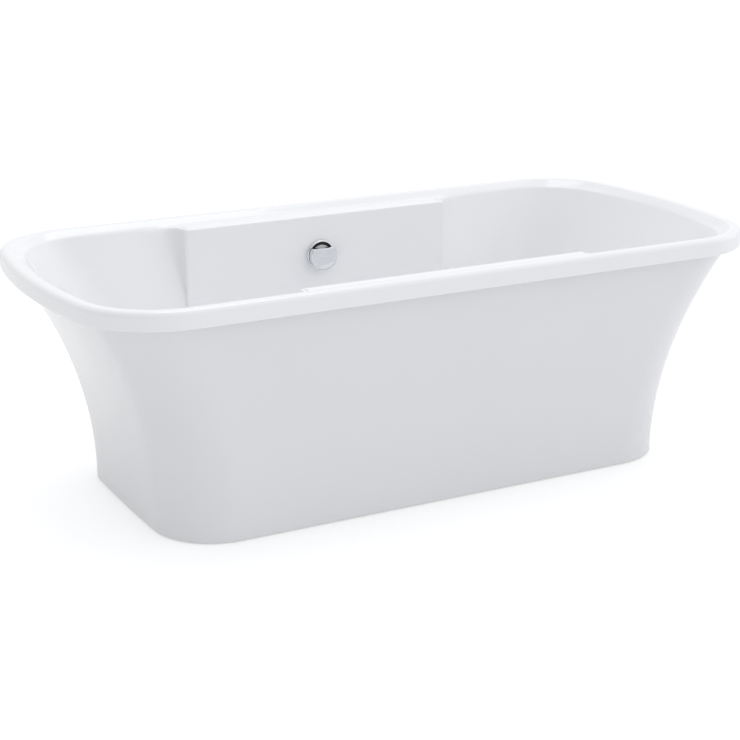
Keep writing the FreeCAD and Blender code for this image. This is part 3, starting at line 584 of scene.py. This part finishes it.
powder, tree, shader, place = new_finish("powder_coat", Metallic=0.0, Specular_IOR_Level=0.5)
orange_peel = noise(tree, place, 900.0, 2.0)
shade = spread(tree, noise(tree, place, 5.0, 4.0), 0.3, 0.7)
grey = blended(tree, shade, (0.36, 0.37, 0.38, 1), (0.43, 0.44, 0.45, 1))
chipped = spread(tree, noise(tree, place, 55.0, 6.0), 0.68, 0.70)
grey = blended(tree, calculate(tree, "MULTIPLY", chipped, 0.7), grey, (0.20, 0.19, 0.18, 1))
grey = blended(tree, placed(tree, dust, Amount=0.4)["Dust"], grey, DUST_COLOUR)
surface(tree, shader, grey, spread(tree, shade, 0, 1, 0.38, 0.52), orange_peel, 0.00006)
use_finish(
    powder, "cross_bar_left", "cross_bar_mid_left", "cross_bar_mid_right", "cross_bar_right",
    "frame_rail_front", "frame_rail_rear")

zinc, tree, shader, place = new_finish("zinc_plate", Metallic=1.0)
spangle = node(tree, "ShaderNodeTexVoronoi", Vector=place, Scale=260.0)
patch = node(tree, "ShaderNodeSeparateColor", Color=spangle.outputs["Color"]).outputs[0]
metal = blended(tree, patch, (0.60, 0.60, 0.58, 1), (0.70, 0.70, 0.67, 1))
dulled = spread(tree, noise(tree, place, 40.0, 4.0), 0.50, 0.72)
metal = blended(tree, calculate(tree, "MULTIPLY", dulled, 0.5), metal, (0.50, 0.47, 0.40, 1))
rough = spread(tree, dulled, 0, 1, 0.26, 0.48)
surface(tree, shader, metal, rough, noise(tree, place, 500.0, 3.0), 0.00005)
use_finish(zinc, "board_screws")

# ---- Levelling feet ---------------------------------------------------------------------
# Each is a black moulded pad with grip flutes and a threaded M12 stud. A lock nut under the
# cross bar and a weld nut on it hold the stud, which screws up and down to level the bath.

THREAD_PITCH = 0.00175
THREAD_DEPTH = 0.0009
STUD_HOLE = 0.00605
PAD_FLUTES = 24
FLUTE_DEPTH = 0.0005
NUT_FLAT = 0.009         # from its axis to a flat
NUT_CONE = 0.0525        # how fast the cone widens, by share of the nut's height


def pad_points(low, high):
    """A domed disc with flutes: radius from the profile, less flute depth *
    (1 + cos(flutes * angle)) / 2 on the side."""
    angle = np.arange(144) / 144 * tau
    radius = (high.x - low.x) / 2
    rise = high.z - low.z
    turn = np.linspace(0, pi / 2, 9)
    dome_r = np.hstack([radius - rise / 2 * (1 - np.cos(turn)), [0.0100, 0.0085, STUD_HOLE, STUD_HOLE]])
    dome_z = np.hstack([rise / 2 + rise / 2 * np.sin(turn), [rise, rise, rise - 0.0008, rise / 2]])
    base_r = [radius * 0.5, radius * 0.9, radius - 0.0012, radius - 0.0002, radius]
    base_z = [0, 0, 0, 0.0010, 0.0022]
    r = np.hstack([base_r, dome_r])[:, None]
    z = np.hstack([base_z, dome_z])[:, None] + low.z
    on_side = np.clip(1 - (radius - r) / 0.003, 0, 1)
    r = r - FLUTE_DEPTH * on_side * (0.5 + 0.5 * np.cos(PAD_FLUTES * angle))
    centre = (low + high) / 2
    return np.stack([centre.x + r * np.cos(angle), centre.y + r * np.sin(angle), z + 0 * angle], axis=-1)


def stud_points(low, high):
    """A screw thread: radius = crest - depth * triangle(height / pitch - turn), faded out at both
    ends, with a small chamfer."""
    crest = (high.x - low.x) / 2
    rows = int((high.z - low.z) / THREAD_PITCH * 6)
    z = np.linspace(low.z, high.z, rows)[:, None]
    turn = np.arange(20)[None, :] / 20
    phase = (z / THREAD_PITCH - turn) % 1
    valley = 1 - np.abs(2 * phase - 1)
    from_end = np.minimum(z - low.z, high.z - z)
    valley = valley * np.clip((from_end - 0.0006) / 0.002, 0, 1)
    radius = crest - THREAD_DEPTH * valley - np.clip(0.0010 - from_end, 0, None)
    centre = (low + high) / 2
    angle = turn * tau
    x = centre.x + radius * np.cos(angle)
    return np.stack([x, centre.y + radius * np.sin(angle), z + 0 * angle], axis=-1)


def nut_points(centre, low_z, high_z):
    """A hexagon nut: radius = flats / cos(angle to the nearest flat), cut down by a cone at both
    faces, and a plain bore."""
    angle = np.arange(72) / 72 * tau
    hexagon = NUT_FLAT / np.cos((angle + pi / 6) % (pi / 3) - pi / 6)
    share = np.array([0, 0.0, 0.06, 0.12, 0.2, 0.5, 0.8, 0.88, 0.94, 1.0, 1.0])[:, None]
    z = low_z + (high_z - low_z) * share
    cone = NUT_FLAT + NUT_CONE * np.minimum(share, 1 - share)
    radius = np.minimum(hexagon, cone)
    radius[0] = radius[-1] = 0.0068
    bore = np.full((2, 72), STUD_HOLE)
    radius = np.vstack([radius, bore])
    z = np.vstack([z, [[high_z - 0.0006], [low_z + 0.0006]]])
    x = centre.x + radius * np.cos(angle)
    return np.stack([x, centre.y + radius * np.sin(angle), z + 0 * angle], axis=-1)


black_plastic, tree, shader, place = new_finish("foot_plastic", Specular_IOR_Level=0.45)
leathery = node(tree, "ShaderNodeTexVoronoi", Vector=place, Scale=900.0).outputs["Distance"]
scuff = spread(tree, noise(tree, place, 70.0, 6.0, (1, 1, 3)), 0.58, 0.70)
black = blended(tree, scuff, (0.030, 0.030, 0.032, 1), (0.11, 0.11, 0.11, 1))
black = blended(tree, placed(tree, dust, Amount=0.35)["Dust"], black, DUST_COLOUR)
surface(tree, shader, black, spread(tree, scuff, 0, 1, 0.42, 0.62), leathery, 0.00008)

nut_boxes = [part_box("foot_lock_nuts"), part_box("foot_weld_nuts")]
for corner in ("front_left", "front_right", "rear_left", "rear_right"):
    pad = closed_surface("pad_" + corner, pad_points(*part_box("foot_pad_" + corner)), capped=True)
    pad.data.materials.append(black_plastic)
    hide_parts("foot_pad_" + corner)
    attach(pad, "foot_" + corner)
    stud_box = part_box("foot_stud_" + corner)
    stud = closed_surface("stud_" + corner, stud_points(*stud_box), capped=True, sharp=60)
    stud.data.materials.append(zinc)
    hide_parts("foot_stud_" + corner)
    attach(stud, "foot_" + corner)
    axis = (stud_box[0] + stud_box[1]) / 2
    for name, (low, high) in zip(("lock_nut_", "weld_nut_"), nut_boxes):
        nut = closed_surface(name + corner, nut_points(axis, low.z, high.z))
        nut.data.materials.append(zinc)
        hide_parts("foot_" + name[:-1] + "s")
        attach(nut, "tub")

# ---- Pop-up waste -----------------------------------------------------------------------
# A chrome flange seals on the floor's recess and screws into a plastic body underneath. The
# plug is a domed chrome cap with a rubber seal on a brass stem, lifted by a nylon rocker.


def chrome_finish():
    """Polished plate: an even mirror with faint smears, dried drops and a dull edge here and there."""
    material, tree, shader, place = new_finish("chrome", Metallic=1.0, Specular_IOR_Level=0.5)
    smear = spread(tree, noise(tree, place, 60.0, 5.0, (1.0, 1.0, 3.0)), 0.40, 0.72)
    drops = node(tree, "ShaderNodeTexVoronoi", Vector=place, Scale=150.0).outputs["Distance"]
    outside = spread(tree, drops, 0.16, 0.20)
    ring_mark = calculate(tree, "MULTIPLY", outside, spread(tree, drops, 0.26, 0.21))
    colour = blended(tree, smear, (0.80, 0.81, 0.83, 1), (0.74, 0.755, 0.775, 1))
    rough = calculate(tree, "MULTIPLY_ADD", ring_mark, 0.05, spread(tree, smear, 0, 1, 0.03, 0.10))
    surface(tree, shader, colour, rough, noise(tree, place, 35.0, 2.0), 0.00008)
    return material


chrome = chrome_finish()
use_finish(chrome, "waste_flange")

cap_low, cap_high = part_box("plug_cap")
cap_r = (cap_high.x - cap_low.x) / 2
cap_rise = cap_high.z - cap_low.z
CAP_EDGE = 0.0014
dome = np.linspace(0, pi / 2, 16)[1:-1]
cap_profile = np.vstack([
    [(cap_r * 0.5, 0), (cap_r - 0.0006, 0), (cap_r, 0.0005), (cap_r, CAP_EDGE)],
    np.stack([cap_r * np.cos(dome)**0.55, CAP_EDGE + (cap_rise - CAP_EDGE) * np.sin(dome)], axis=1),
])
plug_cap = lathe("plug_dome", cap_profile, (0, 0, cap_low.z))
plug_cap.data.materials.append(chrome)
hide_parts("plug_cap")
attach(plug_cap, "plug")

rubber, tree, shader, place = new_finish("seal_rubber", Specular_IOR_Level=0.35)
bloom = spread(tree, noise(tree, place, 45.0, 5.0), 0.45, 0.70)
dark = blended(tree, bloom, (0.030, 0.030, 0.031, 1), (0.085, 0.084, 0.082, 1))
rough = spread(tree, bloom, 0, 1, 0.55, 0.80)
surface(tree, shader, dark, rough, noise(tree, place, 1200.0, 2.0), 0.00005)
use_finish(rubber, "waste_flange_seal", "waste_body_gasket", "plug_seal", "overflow_gasket")

brass, tree, shader, place = new_finish("turned_brass", Metallic=1.0)
turned = node(
    tree, "ShaderNodeTexWave", {"bands_direction": "Z"},
    Vector=place, Scale=1400.0, Distortion=0.4).outputs[1]
tarnish = spread(tree, noise(tree, place, 120.0, 5.0), 0.40, 0.70)
gold = blended(tree, tarnish, (0.78, 0.60, 0.30, 1), (0.48, 0.33, 0.15, 1))
surface(tree, shader, gold, spread(tree, tarnish, 0, 1, 0.20, 0.42), turned, 0.00002)
use_finish(brass, "plug_stem", "knob_spindle")

nylon, tree, shader, place = new_finish("grey_nylon", Subsurface_Weight=0.05, Specular_IOR_Level=0.4)
flow = spread(tree, noise(tree, place, 90.0, 4.0, (1, 4, 1)), 0.35, 0.68)
grey = blended(tree, flow, (0.17, 0.17, 0.18, 1), (0.24, 0.24, 0.25, 1))
rough = spread(tree, flow, 0, 1, 0.38, 0.55)
surface(tree, shader, grey, rough, noise(tree, place, 1500.0, 2.0), 0.00004)
use_finish(nylon, "lift_lever", "cable_cam")
use_finish(zinc, "lever_pin")

white_plastic, tree, shader, place = new_finish(
    "waste_plastic", Subsurface_Weight=0.04, Specular_IOR_Level=0.45)
swirl = spread(tree, noise(tree, place, 25.0, 5.0, (1, 1, 2)), 0.35, 0.68)
white = blended(tree, swirl, (0.74, 0.74, 0.71, 1), (0.66, 0.66, 0.62, 1))
white = blended(tree, placed(tree, dust, Amount=0.30)["Dust"], white, DUST_COLOUR)
rough = spread(tree, swirl, 0, 1, 0.32, 0.48)
surface(tree, shader, white, rough, noise(tree, place, 800.0, 2.0), 0.00006)
use_finish(white_plastic, "waste_body", "overflow_housing", "overflow_sleeve")

# ---- Bottle trap ------------------------------------------------------------------------
# A plastic bowl and its screwed cap keep water between bath and drain. A bend pushed into the
# bowl's outlet turns down to the waste pipe in the floor.

use_finish(white_plastic, "trap_bowl", "trap_cap", "outlet_bend")

# ---- Overflow ---------------------------------------------------------------------------
# A chrome ring stands on the rear deck's panel round the opening where water gets out behind
# the knob; its bore and inner face are painted near-black as painted shade in the gap there.
# The knob is a chrome disc with a flat on top and a facet low on its front.

ring_r = (ring_high.x - ring_low.x) / 2
ring_deep = ring_high.y - ring_low.y
RING_BORE = 0.02195
RING_STEP = 0.0263
RING_ROUND = 0.0028
turn = np.linspace(0, pi / 2, 9)
round_r = ring_r - RING_ROUND * (1 - np.sin(turn))
round_y = RING_ROUND * (1 - np.cos(turn)) - ring_deep
step_y = 0.0025 - ring_deep
face_y = 0.0008 - ring_deep
ring_profile = np.vstack([
    [(RING_BORE, -0.0012), (RING_BORE, step_y), (RING_STEP, step_y), (RING_STEP, face_y)],
    [(0.0285, face_y), (0.0335, face_y), (0.0342, -ring_deep)],
    np.stack([round_r, round_y], axis=1),
    [(ring_r, -0.0016), (ring_r - 0.0006, -0.0006), (ring_r - 0.0014, 0), (0.0235, 0)],
])
ring = lathe("overflow_collar", ring_profile, (0, panel_y, overflow_z), 128, "Y", capped=False)
# Painted shade: a near-black finish stands in for the shade in the gap between knob and ring.
inlet_shade, tree, shader, place = new_finish("inlet_painted_shade", Specular_IOR_Level=0.3)
shade_mottle = spread(tree, noise(tree, place, 160.0, 5.0), 0.52, 0.72)
painted_shade_black = blended(tree, shade_mottle, (0.006, 0.006, 0.007, 1), (0.030, 0.030, 0.030, 1))
rough = spread(tree, shade_mottle, 0, 1, 0.45, 0.65)
surface(tree, shader, painted_shade_black, rough, noise(tree, place, 900.0, 2.0), 0.00005)
# The first bands of the profile, from the bore to the inner edge of the face, get the near-black painted
# shade.
PAINTED_SHADE_BANDS = 5
ring.data.materials.append(chrome)
ring.data.materials.append(inlet_shade)
rows = np.repeat(np.arange(len(ring_profile)), 128)
ring.data.polygons.foreach_set("material_index", (rows < PAINTED_SHADE_BANDS).astype(np.int32))
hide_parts("overflow_ring")
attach(ring, "tub")

KNOB_FACET = 0.0205      # from the axis to the facet
FACET_LEAN = 0.23        # radians that the facet leans back
FACET_RISE = 0.22        # radians that its upper edge rises towards +X
KNOB_ROUND = 0.0030
KNOB_DOME = 0.0006


def knob_points(low, high):
    """A disc with a flat on top: at each angle the radius is the smaller of the disc's and the
    flat's, softened where they meet. Rows run over a slightly domed front, its round edge and the
    back. Past the facet's upper edge the front goes back by the distance * tan(lean)."""
    angle = np.arange(180) / 180 * tau
    disc = (high.x - low.x) / 2
    to_flat = (high.z - overflow_z) / np.maximum(np.sin(angle), 0.2)
    near = np.clip(1 - np.abs(disc - to_flat) / 0.003, 0, 1)
    outline_r = np.minimum(disc, to_flat) - 0.003 * near**3 / 6
    deep = high.y - low.y
    turn = np.linspace(0, pi / 2, 8)
    shares = np.linspace(0.05, 0.95, 40)
    front = [(share, 0, KNOB_DOME * share**2) for share in shares]
    edge = [(1, -KNOB_ROUND * (1 - sin(t)), KNOB_DOME + KNOB_ROUND * (1 - cos(t))) for t in turn]
    rear = [(1, 0, deep * 0.6), (1, 0, deep - 0.0008), (1, -0.0008, deep), (0.6, 0, deep)]
    share, inset, along = np.array(front + edge + rear).T[:, :, None]
    radius = outline_r * share + inset
    x, z = radius * np.cos(angle), radius * np.sin(angle)
    past = np.clip(x * sin(FACET_RISE) - z * cos(FACET_RISE) - KNOB_FACET, 0, None)
    along = np.maximum(along, np.minimum(past * np.tan(FACET_LEAN) + 0.0003, deep * 0.6) * (past > 0))
    return np.stack([x, low.y + along, overflow_z + z], axis=-1)


knob_low, knob_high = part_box("overflow_knob")
knob = closed_surface("overflow_dial", knob_points(knob_low, knob_high), capped=True)
knob.data.materials.append(chrome)
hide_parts("overflow_knob")
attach(knob, "knob")

# ---- Overflow hose and control cable ----------------------------------------------------
# A ribbed grey hose drops from the housing behind the panel, goes under the floor and is
# clamped on the waste. The knob's cable, in a black sheath, runs beside it.

HOSE_RIB_PITCH = 0.0034
HOSE_RIB = 0.0009
HOSE_CUFF = 0.020

hose_low, hose_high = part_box("overflow_hose")
hose_r = (hose_high.x - hose_low.x) / 2
neck_y = hose_high.y - hose_r
run_z = hose_low.z + hose_r
# The route lies in the plane across the bath: down behind the panel, round under the floor and
# along to the waste.
hose_route = [
    (0, neck_y, hose_high.z),
    (0, neck_y, hose_high.z - 0.036),
    (0, neck_y - 0.0035, run_z + 0.224),
    (0, neck_y - 0.0277, run_z + 0.112),
    (0, neck_y - 0.0396, run_z + 0.073),
    (0, neck_y - 0.0534, run_z + 0.028),
    (0, neck_y - 0.0911, run_z),
    (0, neck_y - 0.1380, run_z),
    (0, hose_low.y, run_z),
]


def smooth_route(points):
    """Points of a quadratic NURBS line through the route, and their distance along it."""
    curve = bpy.data.curves.new("route", "CURVE")
    curve.dimensions = "3D"
    curve.resolution_u = 32
    line = curve.splines.new("NURBS")
    line.points.add(len(points) - 1)
    for point, corner in zip(line.points, points):
        point.co = (*corner, 1)
    line.order_u = 3
    line.use_endpoint_u = True
    holder = bpy.data.objects.new("route", curve)
    bpy.context.scene.collection.objects.link(holder)
    bpy.context.view_layer.update()
    mesh = bpy.data.meshes.new_from_object(holder.evaluated_get(bpy.context.evaluated_depsgraph_get()))
    places = np.zeros(len(mesh.vertices) * 3)
    mesh.vertices.foreach_get("co", places)
    bpy.data.objects.remove(holder)
    places = places.reshape(-1, 3)
    steps = np.linalg.norm(np.diff(places, axis=0), axis=1)
    return places, np.hstack([0, np.cumsum(steps)])


def hose_points(points, outer_r, wall):
    """A ribbed tube in the plane across the bath: radius = outer - rib * (1 + cos) / 2 along the
    route, plain on the cuffs at both ends, and the bore back inside."""
    places, distance = smooth_route(points)
    total = distance[-1]
    outside = np.linspace(0, total, int(total / HOSE_RIB_PITCH * 6))
    inside = np.linspace(total, 0, 60)
    s = np.hstack([outside, inside])
    centre = np.stack([np.interp(s, distance, places[:, axis]) for axis in range(3)], axis=1)
    ahead = np.stack([np.interp(s + 0.001, distance, places[:, axis]) for axis in range(3)], axis=1)
    behind = np.stack([np.interp(s - 0.001, distance, places[:, axis]) for axis in range(3)], axis=1)
    tangent = ahead - behind
    tangent = tangent / np.linalg.norm(tangent, axis=1)[:, None]
    side = np.cross(tangent, (1.0, 0, 0))
    ribbed = np.clip((np.minimum(outside, total - outside) - HOSE_CUFF) / 0.002, 0, 1)
    rib = HOSE_RIB * ribbed * (0.5 + 0.5 * np.cos(outside / HOSE_RIB_PITCH * tau))
    radius = np.hstack([outer_r - rib, 0 * inside + outer_r - wall])[:, None, None]
    angle = np.arange(32)[None, :, None] / 32 * tau
    outward = np.cos(angle) * np.array([1.0, 0, 0]) + np.sin(angle) * side[:, None]
    return centre[:, None] + radius * outward


hose = closed_surface("overflow_tube", hose_points(hose_route, hose_r, 0.002), sharp=50)
grey_hose, tree, shader, place = new_finish("hose_plastic", Specular_IOR_Level=0.4)
streak = spread(tree, noise(tree, place, 30.0, 5.0), 0.35, 0.68)
grey = blended(tree, streak, (0.50, 0.51, 0.52, 1), (0.42, 0.43, 0.44, 1))
grey = blended(tree, placed(tree, dust, Amount=0.35)["Dust"], grey, DUST_COLOUR)
rough = spread(tree, streak, 0, 1, 0.40, 0.58)
surface(tree, shader, grey, rough, noise(tree, place, 1100.0, 2.0), 0.00005)
hose.data.materials.append(grey_hose)
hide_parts("overflow_hose")
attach(hose, "tub")

sheath, tree, shader, place = new_finish("cable_sheath", Specular_IOR_Level=0.4)
rub = spread(tree, noise(tree, place, 110.0, 5.0), 0.50, 0.70)
black = blended(tree, rub, (0.025, 0.025, 0.028, 1), (0.09, 0.09, 0.095, 1))
rough = spread(tree, rub, 0, 1, 0.35, 0.60)
surface(tree, shader, black, rough, noise(tree, place, 1300.0, 2.0), 0.00004)
use_finish(sheath, "control_cable")

band, tree, shader, place = new_finish("clamp_band", Metallic=1.0)
brushed = noise(tree, place, 80.0, 3.0, (1, 40, 40))
steel = blended(tree, spread(tree, brushed, 0.35, 0.65), (0.62, 0.62, 0.61, 1), (0.72, 0.72, 0.71, 1))
surface(tree, shader, steel, spread(tree, brushed, 0.3, 0.7, 0.24, 0.40), brushed, 0.00003)
use_finish(band, "hose_clamps")

# ---- Outer skirt ------------------------------------------------------------------------
# The outer shell of cast acrylic, slid up under the lip when everything inside is fixed. It
# flares slowly and then faster from its foot to the rim, most at the two ends.

skirt_low, skirt_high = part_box("outer_skirt")

OVERHANG = 0.028
FOOT_END_IN = 0.200      # the foot's ends and sides lie this far inside the rim
FOOT_SIDE_IN = 0.104
FOOT_CORNER = 0.147
FOOT_BOW = 0.008
END_FLARE = 2.25         # exponents of the flare
SIDE_FLARE = 1.75
SKIRT_WALL = 0.0045
SKIRT_EDGE = 0.0015


def skirt_plan(z, inset):
    """Plan of the skirt at height z: foot size + (top size - foot size) * share ** flare exponent."""
    share = np.clip(z, 0, lip_z) / lip_z
    end_share = share**END_FLARE
    top_long, top_wide, top_corner, top_end = rim(OVERHANG)
    half_long = length / 2 - FOOT_END_IN
    half_wide = half_width - FOOT_SIDE_IN
    top_bow = top_end - np.sqrt(top_end**2 - top_wide**2)
    long = half_long + (top_long - half_long) * end_share
    wide = half_wide + (top_wide - half_wide) * share**SIDE_FLARE
    corner = FOOT_CORNER + (top_corner - FOOT_CORNER) * end_share
    end = end_radius(wide, FOOT_BOW + (top_bow - FOOT_BOW) * end_share)
    return [size - inset for size in (long, wide, corner, end)]


def skirt_rows():
    """Outside from the rounded bottom edge up to the neck under the rim, and down the inside."""
    bottom = skirt_low.z
    top = skirt_high.z
    turn = np.linspace(0, pi / 2, 5)
    along = SKIRT_EDGE * (1 - np.sin(turn))
    across = SKIRT_EDGE * (1 - np.cos(turn))
    up = np.hstack([np.linspace(bottom + 0.004, lip_z, 44), [lip_z + 0.004, top - SKIRT_EDGE]])
    z = np.hstack([
        bottom + along[::-1], up, top - along[1:],
        top - across, up[::-1], bottom + across[::-1],
    ])
    inset = np.hstack([
        across[::-1], 0 * up, across[1:],
        SKIRT_WALL - along, 0 * up + SKIRT_WALL, SKIRT_WALL - along[::-1],
    ])
    straight = np.linspace(0, hollow_x, 14)
    x, y = plan(skirt_plan(z, inset), straight)[:2]
    return at_height(x, y, z[:, None])


skirt = closed_surface("skirt_shell", mirrored(skirt_rows()))
# Painted shade: the tub's acrylic again, with whites set darker than the tub's, as a shaded copy for the
# skirt.
skirt_acrylic = acrylic_finish(
    "skirt_acrylic", (0.82, 0.821, 0.838, 1), (0.805, 0.809, 0.826, 1), 3.0, 0.01)
skirt.data.materials.append(skirt_acrylic)
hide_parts("outer_skirt")
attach(skirt, "tub")

# ---- Studio -----------------------------------------------------------------------------
# A seamless pale floor under soft, even light: a bright room, a wide softbox overhead and one
# at each side. The room is dimmer towards the near left. The floor glows, more for the camera
# than for the bath, so that it looks white and lights the skirt only a little.

floor_mesh = bpy.data.meshes.new("studio_floor")
floor_mesh.from_pydata([(-20, -20, 0), (20, -20, 0), (20, 20, 0), (-20, 20, 0)], [], [(0, 1, 2, 3)])
floor = bpy.data.objects.new("studio_floor", floor_mesh)
bpy.context.scene.collection.objects.link(floor)
paper, tree, shader, place = new_finish(
    "studio_paper", Specular_IOR_Level=0.1, Emission_Color=(1, 1, 1, 1))
tooth = spread(tree, noise(tree, place, 3.0, 3.0), 0.3, 0.7)
pale = blended(tree, tooth, (0.70, 0.70, 0.70, 1), (0.69, 0.69, 0.692, 1))
surface(tree, shader, pale, spread(tree, tooth, 0, 1, 0.80, 0.86), tooth, 0.0002)
glow = spread(tree, node(tree, "ShaderNodeLightPath").outputs["Is Camera Ray"], 0, 1, 0.24, 0.46)
tree.links.new(glow, shader.inputs["Emission Strength"])
floor_mesh.materials.append(paper)

world = bpy.data.worlds.new("studio")
world.use_nodes = True
bpy.context.scene.world = world
tree = world.node_tree
tree.nodes.clear()
around = node(tree, "ShaderNodeTexCoord").outputs["Generated"]
direction = node(tree, "ShaderNodeSeparateXYZ", Vector=around)
dim_azimuth = radians(-65)
climb = spread(tree, direction.outputs[2], 0.0, 1.0, 0.90, 1.08)
towards = calculate(tree, "MULTIPLY", direction.outputs[0], sin(dim_azimuth))
towards = calculate(tree, "MULTIPLY_ADD", direction.outputs[1], -cos(dim_azimuth), towards)
dimmed = spread(tree, towards, 0.0, 1.0, 1.03, 0.50)
strength = calculate(tree, "MULTIPLY", climb, dimmed)
room = node(tree, "ShaderNodeBackground", Color=(0.975, 0.985, 1.0, 1), Strength=strength)
white_room = node(tree, "ShaderNodeBackground", Color=(1, 1, 1, 1), Strength=1.0)
seen = node(tree, "ShaderNodeLightPath").outputs["Is Camera Ray"]
chosen = node(tree, "ShaderNodeMixShader")
tree.links.new(seen, chosen.inputs[0])
tree.links.new(room.outputs[0], chosen.inputs[1])
tree.links.new(white_room.outputs[0], chosen.inputs[2])
tree.links.new(chosen.outputs[0], node(tree, "ShaderNodeOutputWorld").inputs[0])


def softbox(name, place, size, power):
    """A square area light that looks at the bath."""
    light = bpy.data.lights.new(name, "AREA")
    light.shape = "SQUARE"
    light.size = size
    light.energy = power
    holder = bpy.data.objects.new(name, light)
    holder.location = place
    holder.rotation_euler = (middle - Vector(place)).to_track_quat("-Z", "Y").to_euler()
    bpy.context.scene.collection.objects.link(holder)


softbox("softbox_above", (0.3, 0.5, 3.2), 1.4, 10)
softbox("softbox_left", (-3.2, 0.6, 1.8), 1.2, 1)
softbox("softbox_right", (3.4, -0.6, 1.8), 2.4, 4)
bpy.context.scene.view_settings.view_transform = "Standard"
